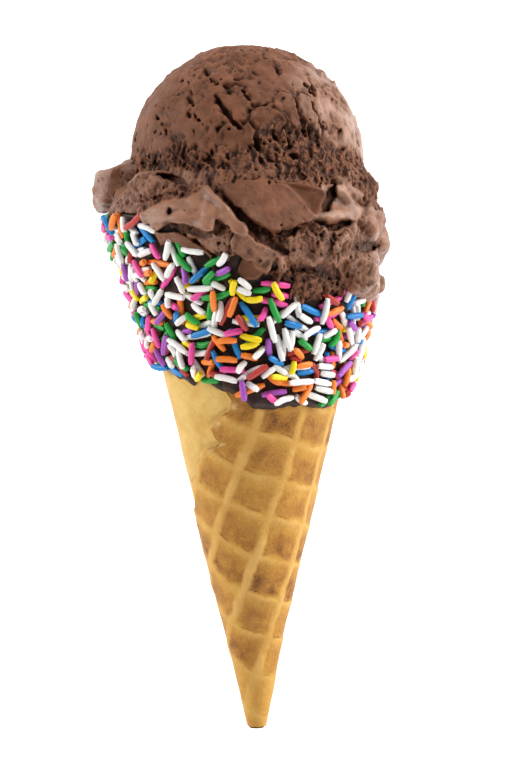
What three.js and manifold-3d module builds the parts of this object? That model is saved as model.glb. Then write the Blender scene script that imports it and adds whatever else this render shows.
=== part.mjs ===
// An ice cream cone lying on its side, in millimetres, +Z up. It is three solids: a rolled waffle cone, the
// dark chocolate with sprinkles that its rim was dipped in, and one large scoop of chocolate ice cream pressed
// over the rim.
//
// Every shape is worked out standing up. There, +Y runs up the cone's axis from the point where its sides would
// meet, +Z is the side that faces up once the cone is laid down, and +X is that side's right. An azimuth is in
// degrees about the axis: 0 is right, 90 faces up, 180 is left and 270 faces the table.
import * as THREE from "three";
import { mergeVertices } from "three/addons/utils/BufferGeometryUtils.js";
import Module from "manifold-3d";

// Driving dimensions.
const HALF_ANGLE = 13.2; // degrees between the cone's side and its axis
const TIP_HEIGHT = 11.2; // where the rolled tip ends, measured up the axis
const TIP_PLAIN_TO = 26; // below this the roll is too tight to show its waffle
const WAFFLE_FROM = 42; // from here up it stands out in full
const TIP_ROUNDING = 0.8;
const HOLLOW_FROM = 36; // below this the roll is closed
const RIM_HEIGHT = 152.5; // the rim where it crosses the axis
const RIM_RISE = 13; // the rim is this much higher on the left, and lower on the right
const RIM_FLARE = 4; // how far the rim opens beyond the straight side
const FLARE_FROM = 125;
const FLARE_TO = 165;
const SHEET = 1.3; // how much the roll thickens in one turn, and so the step at its outer edge
const BORDER = 0.25; // this share of a turn at the sheet's inner end is plain
const WALL = 3.8; // from the cone's nominal side to its hollow
const WALL_SHARES = [0, 0.3, 0.65, 1]; // steps of the wall, from the dip's lower edge to the rim
const SEAM = { low: 20, high: 108, azimuthLow: 250, turns: 142, curve: 2.2 }; // the sheet's outer edge
const DIP_EDGE = { height: 116, toRight: 5, toFront: 7.6 }; // the chocolate's lower edge, a tilted ring
const WAFFLE_PITCH = [11.7, 13.1]; // from ridge to ridge, along and across the flat sheet
const WAFFLE_ORIGIN = [61.5, 10]; // where two ridges cross in the flat sheet
const RIDGE_HEIGHT = 0.9;
const RIDGE_FOOT = 4.6;
const SLIT = 0.005; // the share of a turn between the sheet's inner end and its outer edge over it
const UNDERSIDE = -0.8; // how far the pressed sheet reaches into the roll inside it
const DIP_THICKNESS = 1.3;
const SPRINKLE_RADIUS = 0.95;
const SPRINKLE_LENGTHS = [9, 5]; // the longest and the shortest that are modelled
const SPRINKLE_DRAWS = 800; // places tried, of which those that are free are used
const SPRINKLE_SUNK = 0.3; // how deep the chocolate holds one
const SCOOP = { centre: [-1.4, 180.7, 0], radius: 35.7 };
const SKIRT_TOP = 177; // where the skirt of ice cream meets the scoop
const SKIRT_REACH = 4; // how far the skirt stands out beyond the dip at the rim
const REST_ANGLE = 15.8; // degrees that the axis rises from the table when the cone lies on skirt and tip
const TIP_FLAT = 0.4; // what the table flattens off the tip
const REST_SPOT = [-1, 152]; // the middle of the flat spot on the skirt: right of the axis, and up it
const GAP = 0.3; // between two pieces that touch

const ROUND = 32; // columns round the cone
const RAD = Math.PI / 180;
const SLOPE = Math.tan(HALF_ANGLE * RAD);
const UNROLL = Math.sin(HALF_ANGLE * RAD); // an angle in the flat sheet is this share of the azimuth

const wasm = await Module();
wasm.setup();

// ---------------------------------------------------------------- solids and booleans

// A closed three.js geometry as a solid that can be joined and cut.
function solid(geometry) {
  const bare = geometry.clone();
  bare.deleteAttribute("normal");
  bare.deleteAttribute("uv");
  const merged = mergeVertices(bare, 1e-4);
  const made = new wasm.Manifold(
    new wasm.Mesh({
      numProp: 3,
      vertProperties: new Float32Array(merged.attributes.position.array),
      triVerts: new Uint32Array(merged.index.array),
    }),
  );
  if (made.volume() < 0) throw new Error("a geometry is inside out");
  return made;
}

// A solid's largest piece as a three.js geometry: the scraps that a cut leaves behind are dropped.
function geometryOf(piece) {
  const largest = piece.decompose().sort((a, b) => b.volume() - a.volume())[0];
  const mesh = largest.getMesh();
  const geometry = new THREE.BufferGeometry();
  geometry.setAttribute("position", new THREE.BufferAttribute(mesh.vertProperties, 3));
  geometry.setIndex(new THREE.BufferAttribute(mesh.triVerts, 1));
  return geometry;
}

const union = (pieces) => wasm.Manifold.union(pieces);

// Moves every vertex of a geometry.
function reshape(geometry, move) {
  const place = geometry.attributes.position;
  const point = new THREE.Vector3();
  for (let i = 0; i < place.count; i++) {
    move(point.fromBufferAttribute(place, i));
    place.setXYZ(i, point.x, point.y, point.z);
  }
  return geometry;
}

// ---------------------------------------------------------------- the cone's form

const fromAxis = (azimuth, radius, height) =>
  new THREE.Vector3(radius * Math.cos(azimuth * RAD), height, radius * Math.sin(azimuth * RAD));

const flare = (height) => {
  const share = THREE.MathUtils.clamp((height - FLARE_FROM) / (FLARE_TO - FLARE_FROM), 0, 1);
  return RIM_FLARE * share ** 1.5;
};

const sideRadius = (height) => height * SLOPE + flare(height);

const hollowRadius = (height) => sideRadius(height) - WALL;

const rimHeight = (azimuth) => RIM_HEIGHT - RIM_RISE * Math.cos(azimuth * RAD);

// The chocolate's lower edge has slow waves and small scallops in it.
const dipHeight = (azimuth) =>
  DIP_EDGE.height -
  DIP_EDGE.toRight * Math.cos(azimuth * RAD) -
  DIP_EDGE.toFront * Math.sin(azimuth * RAD) +
  1.1 * Math.sin((3 * azimuth + 50) * RAD) +
  0.7 * Math.sin((7 * azimuth + 20) * RAD);

// The azimuth of the sheet's outer edge. It leaves the rim on the side that shows, runs behind the left side, and
// is straight above its high end.
function seamAzimuth(height) {
  const share = THREE.MathUtils.clamp((height - SEAM.low) / (SEAM.high - SEAM.low), 0, 1);
  return SEAM.azimuthLow - SEAM.turns * share ** SEAM.curve;
}

// How far round its roll the sheet has come: 0 just past the outer edge, 1 at the edge itself.
function rolled(azimuth, height) {
  const turns = (azimuth - seamAzimuth(height)) / 360;
  return turns - Math.floor(turns);
}

// The roll's thickness grows by one sheet between the plain border and the outer edge.
const rise = (share) => SHEET * Math.max(0, (share - BORDER) / (1 - BORDER));

// The roll inside the outermost turn of the sheet, and the level of that turn's border and ridges.
const rollRadius = (height) => sideRadius(height) - SHEET / 2 - RIDGE_HEIGHT;
const wallRadius = (azimuth, height) =>
  sideRadius(height) - SHEET / 2 + rise(rolled(azimuth, height));

// A solid round the axis. Each step of its profile gives a radius and a height at an azimuth. The profile runs
// up the outside, and starts and ends on the axis or closes on itself.
function turned(profile) {
  const steps = profile.map((_, i) => new THREE.Vector2(1, i));
  return reshape(new THREE.LatheGeometry(steps, ROUND), (p) => {
    const azimuth = Math.atan2(p.z, p.x) / RAD;
    const [radius, height] = profile[Math.round(p.y)](azimuth);
    p.copy(fromAxis(azimuth, radius, height));
  });
}

// A step of a profile that is the same all round.
const level = (radius, height) => () => [radius, height];

// A step of a profile at a share of the way from the dip's lower edge to the rim.
const atShare = (share, radius) => (azimuth) => {
  const height = THREE.MathUtils.lerp(dipHeight(azimuth), rimHeight(azimuth), share);
  return [radius(azimuth, height), height];
};

// A ring from a lower share to a higher one.
function ringOver(shares, inner, outer) {
  const up = shares.map((share) => atShare(share, outer));
  const down = shares.map((share) => atShare(share, inner)).reverse();
  return turned([...up, ...down, up[0]]);
}

// ---------------------------------------------------------------- the waffle cone

// Lines across one pitch of the waffle, from a ridge's middle: its foot, its crest, and its other foot.
const RIDGE_LINES = [-RIDGE_FOOT / 2, 0, RIDGE_FOOT / 2];

// The position of the nth grid line of a family of ridges: 0 runs up the flat sheet, and 1 across it.
function ridgeLine(family, n) {
  const pitch = Math.floor(n / RIDGE_LINES.length);
  return WAFFLE_ORIGIN[family] + pitch * WAFFLE_PITCH[family] + RIDGE_LINES[n - pitch * RIDGE_LINES.length];
}

// 1 on the crest of a ridge of a family, 0 in a cell.
function ridge(family, place) {
  const pitches = (place - WAFFLE_ORIGIN[family]) / WAFFLE_PITCH[family];
  const off = Math.abs(pitches - Math.round(pitches)) * WAFFLE_PITCH[family];
  return THREE.MathUtils.clamp(1 - off / (RIDGE_FOOT / 2), 0, 1);
}

// The waffle fades in beyond the plain border.
const pressed = (share) => THREE.MathUtils.smoothstep(share, BORDER, BORDER + 0.12);

// The baked sheet before it is rolled: flat, with its ridges up (+Z) and with grid lines along them. It reaches
// further each way than the outermost turn does.
function flatSheet() {
  const reach = 126;
  const [u, v] = [0, 1].map((family) => {
    const found = [];
    for (let n = -60; ridgeLine(family, n) < reach; n++)
      if (ridgeLine(family, n) > -reach) found.push(ridgeLine(family, n));
    return found;
  });
  const sheet = new THREE.BoxGeometry(1, 1, 1, u.length - 1, v.length - 1, 1);
  return reshape(sheet, (p) => {
    const face = p.z > 0;
    p.x = u[Math.round((p.x + 0.5) * (u.length - 1))];
    p.y = v[Math.round((p.y + 0.5) * (v.length - 1))];
    p.z = face ? RIDGE_HEIGHT * Math.max(ridge(0, p.x), ridge(1, p.y)) : UNDERSIDE;
  });
}

// A point of the cone's side as it lies in the flat sheet.
function flatPoint(azimuth, height) {
  const along = height / Math.cos(HALF_ANGLE * RAD);
  return new THREE.Vector2(
    along * Math.cos(azimuth * UNROLL * RAD),
    along * Math.sin(azimuth * UNROLL * RAD),
  );
}

// The outline of the outermost turn of the sheet, as a cutter: up its inner end, round its top under the
// chocolate, down its outer edge, and back round its foot.
function sheetOutline() {
  const steps = 9;
  const foot = TIP_PLAIN_TO - 3;
  const along = (from, to, point, count) =>
    Array.from({ length: count }, (_, i) => point(THREE.MathUtils.lerp(from, to, i / count)));
  const onFoot = (share) => flatPoint(seamAzimuth(foot) + (share - 1) * 360, foot);
  const topHeight = (share) => dipHeight(seamAzimuth(SEAM.high) + (share - 1) * 360) - 2 * GAP;
  const onEdge = (share, climb) => {
    const height = THREE.MathUtils.lerp(foot, topHeight(share), climb);
    return flatPoint(seamAzimuth(height) + (share - 1) * 360, height);
  };
  const outline = [
    ...along(0, 1, (climb) => onEdge(SLIT, climb), steps),
    ...along(SLIT, 1, (share) => onEdge(share, 1), 3 * steps),
    ...along(1, 0, (climb) => onEdge(1, climb), steps),
    ...along(1, SLIT, onFoot, steps),
  ];
  const depth = 8;
  const cutter = new THREE.ExtrudeGeometry(new THREE.Shape(outline), { depth, bevelEnabled: false });
  return cutter.translate(0, 0, -depth / 2);
}

// Rolls the flat sheet round the roll inside it.
function roll(geometry) {
  return reshape(geometry, (p) => {
    const along = Math.hypot(p.x, p.y);
    const height = along * Math.cos(HALF_ANGLE * RAD);
    const azimuth = Math.atan2(p.y, p.x) / RAD / UNROLL;
    const share = 1 + (azimuth - seamAzimuth(height)) / 360;
    const shown = THREE.MathUtils.smoothstep(height, TIP_PLAIN_TO - 8, WAFFLE_FROM);
    const stands = RIDGE_HEIGHT + rise(share) + (p.z - RIDGE_HEIGHT) * pressed(share);
    const depth = p.z > UNDERSIDE / 2 ? shown * stands : UNDERSIDE;
    p.copy(fromAxis(azimuth, rollRadius(height) + depth, height));
  });
}

// The inside of the cone, drawn in by a gap, up to a share of the way from the dip's lower edge to the rim.
const ABOVE_RIM = 1.3;
function inside(gap, top) {
  const radius = (azimuth, height) => hollowRadius(height) - gap;
  const last = atShare(top, radius);
  return turned([
    level(0, HOLLOW_FROM + gap),
    level(hollowRadius(HOLLOW_FROM) - gap, HOLLOW_FROM + gap),
    ...WALL_SHARES.filter((share) => share < top).map((share) => atShare(share, radius)),
    last,
    level(0, last(90)[1]),
  ]);
}

function waffleCone() {
  const tip = sideRadius(TIP_HEIGHT);
  const plain = turned([
    level(0, TIP_HEIGHT),
    level(tip - TIP_ROUNDING, TIP_HEIGHT),
    level(tip, TIP_HEIGHT + TIP_ROUNDING),
    level(sideRadius(TIP_PLAIN_TO) - RIDGE_HEIGHT / 2, TIP_PLAIN_TO),
    level(rollRadius(WAFFLE_FROM), WAFFLE_FROM),
    atShare(-0.02, (azimuth, height) => rollRadius(height)),
    ...WALL_SHARES.map((share) => atShare(share, wallRadius)),
    atShare(1, (azimuth, height) => hollowRadius(height) - 1),
    level(0, RIM_HEIGHT),
  ]);
  const outermost = solid(flatSheet()).intersect(solid(sheetOutline()));
  const rolledSheet = solid(roll(geometryOf(outermost)));
  return union([solid(plain), rolledSheet]).subtract(solid(inside(0, ABOVE_RIM)));
}

// ---------------------------------------------------------------- the chocolate dip and its sprinkles

const dipRadius = (azimuth, height) =>
  wallRadius(azimuth, height) + GAP + DIP_THICKNESS + 0.2 * Math.sin(5 * azimuth * RAD);

function dippedBand() {
  const backs = (azimuth, height) => wallRadius(azimuth, height) + GAP;
  return ringOver(WALL_SHARES, backs, dipRadius);
}

// The nth draw of an even sequence between 0 and 1. Each step makes a sequence of its own.
const evenDraw = (n, step) => (0.5 + n * step) % 1;
const ROUND_STEP = 0.7548776662;
const UP_STEP = 0.569840291;
const TURN_STEP = 0.6180339887;

// Where the nth sprinkle lies: along, across and outwards from its middle. The longest come first.
function sprinklePlace(n) {
  const azimuth = 360 * evenDraw(n, ROUND_STEP);
  const share = THREE.MathUtils.lerp(0.03, 0.97, evenDraw(n, UP_STEP));
  const [radius, height] = atShare(share, dipRadius)(azimuth);
  const length = THREE.MathUtils.lerp(...SPRINKLE_LENGTHS, n / SPRINKLE_DRAWS);
  const out = fromAxis(azimuth, 1, -SLOPE).normalize();
  const round = new THREE.Vector3(0, 1, 0).cross(out).normalize();
  const turn = 180 * evenDraw(n, TURN_STEP) * RAD;
  const along = round.clone().applyAxisAngle(out, turn);
  // A long sprinkle that lies round the cone touches it only in the middle, so it sits deeper.
  const bow = (length * Math.cos(turn)) ** 2 / (8 * radius);
  const middle = fromAxis(azimuth, radius, height);
  middle.addScaledVector(out, SPRINKLE_RADIUS - SPRINKLE_SUNK - 0.4 * bow);
  return { length, along, out, middle };
}

// A straight rod with five sides. The edge between two of them is pressed into the chocolate.
function sprinkle({ length, along, out, middle }, thicker = 0) {
  const corners = Array.from({ length: 5 }, (_, i) => {
    const angle = (i * 72 - 90) * RAD;
    return new THREE.Vector2(Math.cos(angle), Math.sin(angle)).multiplyScalar(SPRINKLE_RADIUS + thicker);
  });
  const rod = new THREE.ExtrudeGeometry(new THREE.Shape(corners), { depth: length, bevelEnabled: false });
  rod.translate(0, 0, -length / 2);
  const place = new THREE.Matrix4().makeBasis(out.clone().cross(along), out, along);
  return solid(rod.applyMatrix4(place.setPosition(middle)));
}

// True where two sprinkles lie clear of each other.
function apart(one, other) {
  const points = ({ length, along, middle }) =>
    [-0.5, -0.25, 0, 0.25, 0.5].map((share) => middle.clone().addScaledVector(along, share * length));
  const near = 2 * SPRINKLE_RADIUS;
  return points(one).every((a) => points(other).every((b) => a.distanceTo(b) > near));
}

function chocolateDip(clearOf) {
  const laid = [];
  for (let n = 0; n < SPRINKLE_DRAWS; n++) {
    const place = sprinklePlace(n);
    const thick = sprinkle(place, GAP);
    const free = laid.every((other) => apart(place, other));
    if (free && clearOf.every((piece) => thick.intersect(piece).isEmpty())) laid.push(place);
  }
  return union([solid(dippedBand()), ...laid.map((place) => sprinkle(place))]);
}

// ---------------------------------------------------------------- the ice cream

// Lobes of the ice cream pressed out over the rim. Each has its azimuth, height and distance from the axis, its
// half sizes along, across and outwards, how far its long side falls to the right, how far it leans so that its
// lower side stands out, how far its right end stands out, and how square it is (2 is round).
const LOBES = [
  ["long_fold", 115, 166.4, 36.5, [17, 6.4, 6.5], 20, 8, -6, 2.6],
  ["fold_tongue", 88, 155.7, 38.6, [9.4, 3.4, 4.4], 46, 4, 0, 2.5],
  ["slab", 86, 167.4, 35.5, [15.5, 7.4, 7], 27, 4, 14, 3.2],
  ["wedge", 64, 170.5, 35.4, [6, 5, 6], 30, -4, 12, 3],
  ["shelf", 44, 164.9, 38, [6.5, 2.6, 5], -8, 0, 0, 2.4],
  ["high_right", 24, 172.0, 34.6, [7.5, 6.6, 6], -12, 0, 0, 2.3],
  ["right_fold", 20, 161.4, 34.6, [9, 5.6, 6.2], -22, 12, 0, 2.6],
  ["torn_ridge", 69, 154.9, 38, [7.2, 3.4, 5], 78, 0, 0, 2.4],
  ["knob", 44, 151.1, 36.6, [7.4, 6, 6.8], 15, 0, 0, 2.3],
  ["right_drop", 30, 145.5, 35, [7, 6, 6.4], -20, 6, 0, 2.2],
  ["torn_underside", 108, 156.7, 38, [11.5, 4.4, 4.8], 26, 0, 0, 2.4],
  ["thin_lip", 120, 154.1, 39.4, [12, 2.4, 3.4], 27, 30, 0, 2.4],
  ["small_lip", 93, 149.3, 37.5, [4, 2.6, 3], 20, 10, 0, 2.2],
  ["left_crumb", 138, 170.6, 35.6, [9.5, 5.6, 7], 4, 0, 0, 2.3],
  ["left_block", 176, 173.4, 39, [9, 7.8, 8.4], 0, 0, 0, 3],
  ["left_under", 158, 163.9, 38.5, [7, 4.4, 5], 12, 14, 0, 2.3],
  ["back_left_fold", 205, 164.9, 36.2, [12, 6.6, 7], -16, 10, 8, 2.6],
  ["rest_left", 252, 154.4, 39.4, [10, 8.4, 6.8], 8, 4, 0, 2.6],
  ["rest_middle", 268, 151.4, 38.4, [10, 8, 7], -6, 0, 0, 2.6],
  ["rest_right", 284, 152.4, 39.2, [10, 8.4, 6.8], -10, 4, 0, 2.6],
  ["back_right_fold", 305, 159.9, 36.5, [11, 6.4, 6.8], 20, 10, 6, 2.6],
  ["back_right_drop", 330, 149.4, 36.2, [9, 5.8, 5.8], -12, 4, 0, 2.3],
  ["right_side_fold", 352, 155.9, 34.2, [9.5, 6, 6], 24, 8, 0, 2.6],
];

// A bump and hollow field over the ice cream, for its torn and pitted skin: from -1 to 1.
const crag = (p, size) =>
  (Math.sin(p.x / size + 1.3 * Math.sin(p.y / size)) +
    Math.sin(p.y / size + 1.7 * Math.sin(p.z / size) + 2) +
    Math.sin(p.z / size + 1.1 * Math.sin(p.x / size) + 4)) /
  3;

// The directions of a lobe: along its length, across it, and outwards.
function lobeAxes(azimuth, falls, leans, yaws) {
  const out = fromAxis(azimuth, 1, 0);
  const up = new THREE.Vector3(0, 1, 0);
  const right = up.clone().cross(out);
  const long = right.clone().applyAxisAngle(out, -falls * RAD);
  const across = up.clone().applyAxisAngle(out, -falls * RAD);
  for (const axis of [across, out]) axis.applyAxisAngle(long, -leans * RAD);
  for (const axis of [long, out]) axis.applyAxisAngle(across, -yaws * RAD);
  return new THREE.Matrix4().makeBasis(long, across, out);
}

// A round or squared-off body with three half sizes.
function roundBody([long, across, out], square, columns, rows) {
  return reshape(new THREE.SphereGeometry(1, columns, rows), (p) => {
    const powers = p.toArray().map((side) => Math.abs(side) ** square);
    p.multiplyScalar((powers[0] + powers[1] + powers[2]) ** (-1 / square));
    p.multiply(new THREE.Vector3(long, across, out));
  });
}

function lobe([, azimuth, height, reach, sizes, falls, leans, yaws, square]) {
  const geometry = roundBody(sizes, square, 10, 6);
  const place = lobeAxes(azimuth, falls, leans, yaws);
  place.setPosition(fromAxis(azimuth, reach, height));
  geometry.applyMatrix4(place);
  const centre = new THREE.Vector3().setFromMatrixPosition(place);
  return solid(
    reshape(geometry, (p) => {
      const away = p.clone().sub(centre).normalize();
      p.addScaledVector(away, 0.45 * crag(p, 2.1));
    }),
  );
}

// The skirt of ice cream that was pressed down over the rim, all round.
function skirt() {
  const step = (climb, out) => (azimuth) => {
    const rim = rimHeight(azimuth);
    const wave = Math.sin((3 * azimuth + 200) * RAD) + 0.8 * Math.sin((7 * azimuth + 60) * RAD);
    const lip = dipRadius(azimuth, rim) + out * (SKIRT_REACH + 0.8 * wave);
    const height = THREE.MathUtils.lerp(rim - 2.2 + wave, SKIRT_TOP, climb);
    return [THREE.MathUtils.lerp(lip, SCOOP.radius - 1, climb ** 2), height];
  };
  return turned([
    level(0, RIM_HEIGHT - 8),
    step(0, 0.1),
    step(0.02, 0.8),
    step(0.2, 1.1),
    step(0.5, 1),
    step(0.85, 0.5),
    step(1, 0),
    level(0, SKIRT_TOP),
  ]);
}

function scoop() {
  const ball = new THREE.SphereGeometry(SCOOP.radius, 28, 18);
  ball.translate(...SCOOP.centre);
  return reshape(ball, (p) => {
    const away = p.clone().sub(new THREE.Vector3(...SCOOP.centre)).normalize();
    p.addScaledVector(away, 0.7 * crag(p, 4.2) + 0.6 * crag(p, 2.3));
  });
}

// The room that the wall and the chocolate on it need, with a gap all round.
function wallRoom() {
  return ringOver(
    [...WALL_SHARES.slice(1, -1), 1.01],
    (azimuth, height) => hollowRadius(height) - GAP,
    (azimuth, height) => dipRadius(azimuth, height) + GAP,
  );
}

// One scoop with its lobes pressed out over the rim, and what it fills of the cone.
function iceCream() {
  const above = union([solid(scoop()), solid(skirt()), ...LOBES.map(lobe)]).subtract(solid(wallRoom()));
  return above.add(solid(inside(2 * GAP, 1)));
}

// ---------------------------------------------------------------- laid down on the table

// Height of the table under the axis, in the standing frame: the line that the tip and the scoop rest on.
const tableDistance =
  TIP_HEIGHT * Math.sin(REST_ANGLE * RAD) -
  (sideRadius(TIP_HEIGHT) - TIP_FLAT) * Math.cos(REST_ANGLE * RAD);

// Turns the standing frame so that the cone lies down, and puts the middle of its flat spot at the origin.
function layDown() {
  const [right, up] = REST_SPOT;
  const lie = new THREE.Matrix4().makeRotationX(REST_ANGLE * RAD);
  const below = (tableDistance - up * Math.sin(REST_ANGLE * RAD)) / Math.cos(REST_ANGLE * RAD);
  const spot = new THREE.Vector3(right, up, below).applyMatrix4(lie);
  return new THREE.Matrix4().makeTranslation(-spot.x, -spot.y, -spot.z).multiply(lie);
}

// Everything below the table, in the standing frame.
function underTable() {
  const block = new THREE.BoxGeometry(400, 500, 100).translate(0, 0, -50);
  return solid(block.applyMatrix4(layDown().invert()));
}

const table = underTable();
const waffle = waffleCone().subtract(table);
const cream = iceCream().subtract(table);
const dip = chocolateDip([cream, waffle, table]);

const part = new THREE.Group();
part.applyMatrix4(layDown());
for (const [name, piece, colour, roughness] of [
  ["waffle_cone", waffle, "#c8924a", 0.75],
  ["chocolate_dip", dip, "#3a241b", 0.4],
  ["ice_cream", cream, "#7b5241", 0.55],
]) {
  const material = new THREE.MeshStandardMaterial({ color: colour, roughness, metalness: 0 });
  const mesh = new THREE.Mesh(geometryOf(piece), material);
  mesh.name = name;
  part.add(mesh);
}

export default part;
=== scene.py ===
import math

import bmesh
import bpy
import numpy as np
from mathutils import Matrix, Vector


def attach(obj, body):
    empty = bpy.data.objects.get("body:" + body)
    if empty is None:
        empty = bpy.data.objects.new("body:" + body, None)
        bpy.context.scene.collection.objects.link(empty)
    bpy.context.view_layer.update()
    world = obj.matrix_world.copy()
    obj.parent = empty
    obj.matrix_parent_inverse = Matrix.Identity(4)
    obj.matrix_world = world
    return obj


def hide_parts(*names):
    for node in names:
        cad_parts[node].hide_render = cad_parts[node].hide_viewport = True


# The looks of an ice cream cone that lies on its side. Sizes are in millimetres in the standing frame of the part:
# +Y runs up the cone's axis, +Z is the side that shows, +X is its right, and an azimuth is in degrees about the
# axis, 0 at the right and 90 at the front. laid() brings them to the frame's metres.

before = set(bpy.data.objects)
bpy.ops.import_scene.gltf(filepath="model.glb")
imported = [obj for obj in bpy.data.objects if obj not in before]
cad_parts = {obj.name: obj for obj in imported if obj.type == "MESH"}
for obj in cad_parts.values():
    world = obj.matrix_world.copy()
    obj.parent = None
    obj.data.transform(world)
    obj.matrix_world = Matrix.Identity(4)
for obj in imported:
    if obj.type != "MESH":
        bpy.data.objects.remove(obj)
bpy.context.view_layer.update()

# ---------------------------------------------------------------- driving sizes, as in the part's source

# The cone: half the angle at its point, the rounded tip, the hollow, the rim and how it flares.
HALF_ANGLE = 13.2
TIP_HEIGHT = 11.2
TIP_ROUNDING = 0.8
HOLLOW_FROM = 36.0
RIM_HEIGHT = 152.5
RIM_RISE = 13.0
RIM_FLARE = 4.0
FLARE_FROM = 125.0
FLARE_TO = 165.0
WALL = 3.8

# The rolled sheet: its thickness, the share of a turn that has no waffle, and its outer edge. Where that edge shows,
# it is torn in steps, each with its height and azimuth.
SHEET = 1.3
BORDER = 0.25
SEAM_LOW = 20.0
SEAM_HIGH = 108.0
SEAM_AZIMUTH_LOW = 250.0
SEAM_TURNS = 142.0
SEAM_CURVE = 2.2
SEAM_HEIGHTS = [20, 44, 68, 80, 91, 94.5, 97, 103.5, 106, 108]
SEAM_AZIMUTHS = [250, 222, 181, 156, 141, 137, 120, 117, 110, 108]

# The waffle: how far apart its ridges are, along the sheet and across it, and where it starts.
WAFFLE_PITCH = (11.7, 13.1)
WAFFLE_ORIGIN = (61.5, 10.0)
WAFFLE_FROM = 42.0
TIP_PLAIN_TO = 26.0
RIDGE_HEIGHT = 0.42
TIP_PRESSED = 0.45

# The chocolate, its lower edge, and the sprinkles.
GAP = 0.3
DIP_THICKNESS = 1.3
DIP_EDGE_HEIGHT = 116.0
DIP_EDGE_TO_RIGHT = 5.0
DIP_EDGE_TO_FRONT = 6.4
SPRINKLE_RADIUS = 0.95
SPRINKLE_SUNK = 0.3

# The scoop and its skirt.
SCOOP_CENTRE = np.array([-1.4, 180.7, 0.0])
SCOOP_RADIUS = 35.7
SKIRT_TOP = 177.0

# How the cone lies: its turn, how flat its tip is, and the place of the standing frame that comes to the origin.
REST_ANGLE = 15.8
TIP_FLAT = 0.4
REST_SPOT = (-1.0, 152.0)

RAD = math.pi / 180
SLOPE = math.tan(HALF_ANGLE * RAD)
UNROLL = math.sin(HALF_ANGLE * RAD)
MM = 0.001


def smoothstep(low, high, x):
    t = np.clip((x - low) / (high - low), 0, 1)
    return t * t * (3 - 2 * t)


def mix(a, b, share):
    return a + (b - a) * share


# ---------------------------------------------------------------- laid down on the table


def side_radius(height):
    share = np.clip((height - FLARE_FROM) / (FLARE_TO - FLARE_FROM), 0, 1)
    return height * SLOPE + RIM_FLARE * share**1.5


def table_matrix():
    """Turns the standing frame so that the cone lies down, with the middle of its flat spot at the origin."""
    lie = Matrix.Rotation(REST_ANGLE * RAD, 4, "X")
    rise = math.sin(REST_ANGLE * RAD)
    level = math.cos(REST_ANGLE * RAD)
    distance = TIP_HEIGHT * rise - (float(side_radius(TIP_HEIGHT)) - TIP_FLAT) * level
    right, up = REST_SPOT
    spot = lie @ Vector((right, up, (distance - up * rise) / level))
    return Matrix.Translation(-spot) @ lie


TABLE_MATRIX = table_matrix()
TABLE_TURN = np.array(TABLE_MATRIX.to_3x3())
TABLE_SHIFT = np.array(TABLE_MATRIX.translation)


def laid(points):
    """Points of the standing frame, in millimetres, as points of the frame, in metres."""
    return (np.asarray(points, float) @ TABLE_TURN.T + TABLE_SHIFT) * MM


def above_table(points):
    """How far each point of the standing frame is above the table."""
    row = TABLE_MATRIX[2]
    return points[:, 0] * row[0] + points[:, 1] * row[1] + points[:, 2] * row[2] + row[3]


def in_scene(name, data):
    """A new object in the scene."""
    made = bpy.data.objects.new(name, data)
    bpy.context.scene.collection.objects.link(made)
    return made


def mesh_piece(name, points, faces):
    """A smooth mesh object from points of the standing frame."""
    mesh = bpy.data.meshes.new(name)
    mesh.from_pydata(laid(points).tolist(), [], [list(face) for face in faces])
    mesh.validate()
    mesh.shade_smooth()
    return in_scene(name, mesh)


def merged(piece):
    """Merges the points that lie on each other, so that poles are closed."""
    work = bmesh.new()
    work.from_mesh(piece.data)
    bmesh.ops.remove_doubles(work, verts=work.verts, dist=0.0005 * MM)
    work.to_mesh(piece.data)
    work.free()
    return piece


def press_flat(piece):
    """Flattens what would go through the table."""
    for vertex in piece.data.vertices:
        vertex.co.z = max(vertex.co.z, 0.0)
    return piece


def set_attribute(piece, name, values, kind="FLOAT"):
    found = piece.data.attributes.get(name) or piece.data.attributes.new(name, kind, "POINT")
    key = "vector" if kind == "FLOAT_VECTOR" else "value"
    found.data.foreach_set(key, np.ascontiguousarray(values, np.float32).ravel())


# ---------------------------------------------------------------- even and uneven draws

LATTICE = np.random.default_rng(7).uniform(-1, 1, (64, 64, 64)).astype(np.float32)
LATTICE_TURN = np.array(Matrix.Rotation(0.7, 3, Vector((1, 2, 3)).normalized()))


def uneven(points, size, seed=0):
    """A smooth random field from -1 to 1, whose bumps are about size across."""
    place = (points @ LATTICE_TURN.T) / size + seed * 17.31
    corner = np.floor(place)
    part = (place - corner).astype(np.float32)
    part = part * part * part * (part * (part * 6 - 15) + 10)
    corner = corner.astype(np.int64) & 63
    after = (corner + 1) & 63
    total = np.zeros(len(points), np.float32)
    for i in (0, 1):
        x = after[:, 0] if i else corner[:, 0]
        wx = part[:, 0] if i else 1 - part[:, 0]
        for j in (0, 1):
            y = after[:, 1] if j else corner[:, 1]
            wy = part[:, 1] if j else 1 - part[:, 1]
            for k in (0, 1):
                z = after[:, 2] if k else corner[:, 2]
                wz = part[:, 2] if k else 1 - part[:, 2]
                total += LATTICE[x, y, z] * wx * wy * wz
    return total * 1.5


def warped(points, size, amount, seed):
    """Points moved about by a smooth random amount."""
    return points + amount * np.stack([uneven(points, size, seed + i) for i in (0, 1, 2)], 1)


def crumbs(points, size, seed):
    """A crumbly relief: thin walls between hollows that are about size apart."""
    return 1 - 2.6 * np.abs(uneven(points, size, seed))


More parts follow.
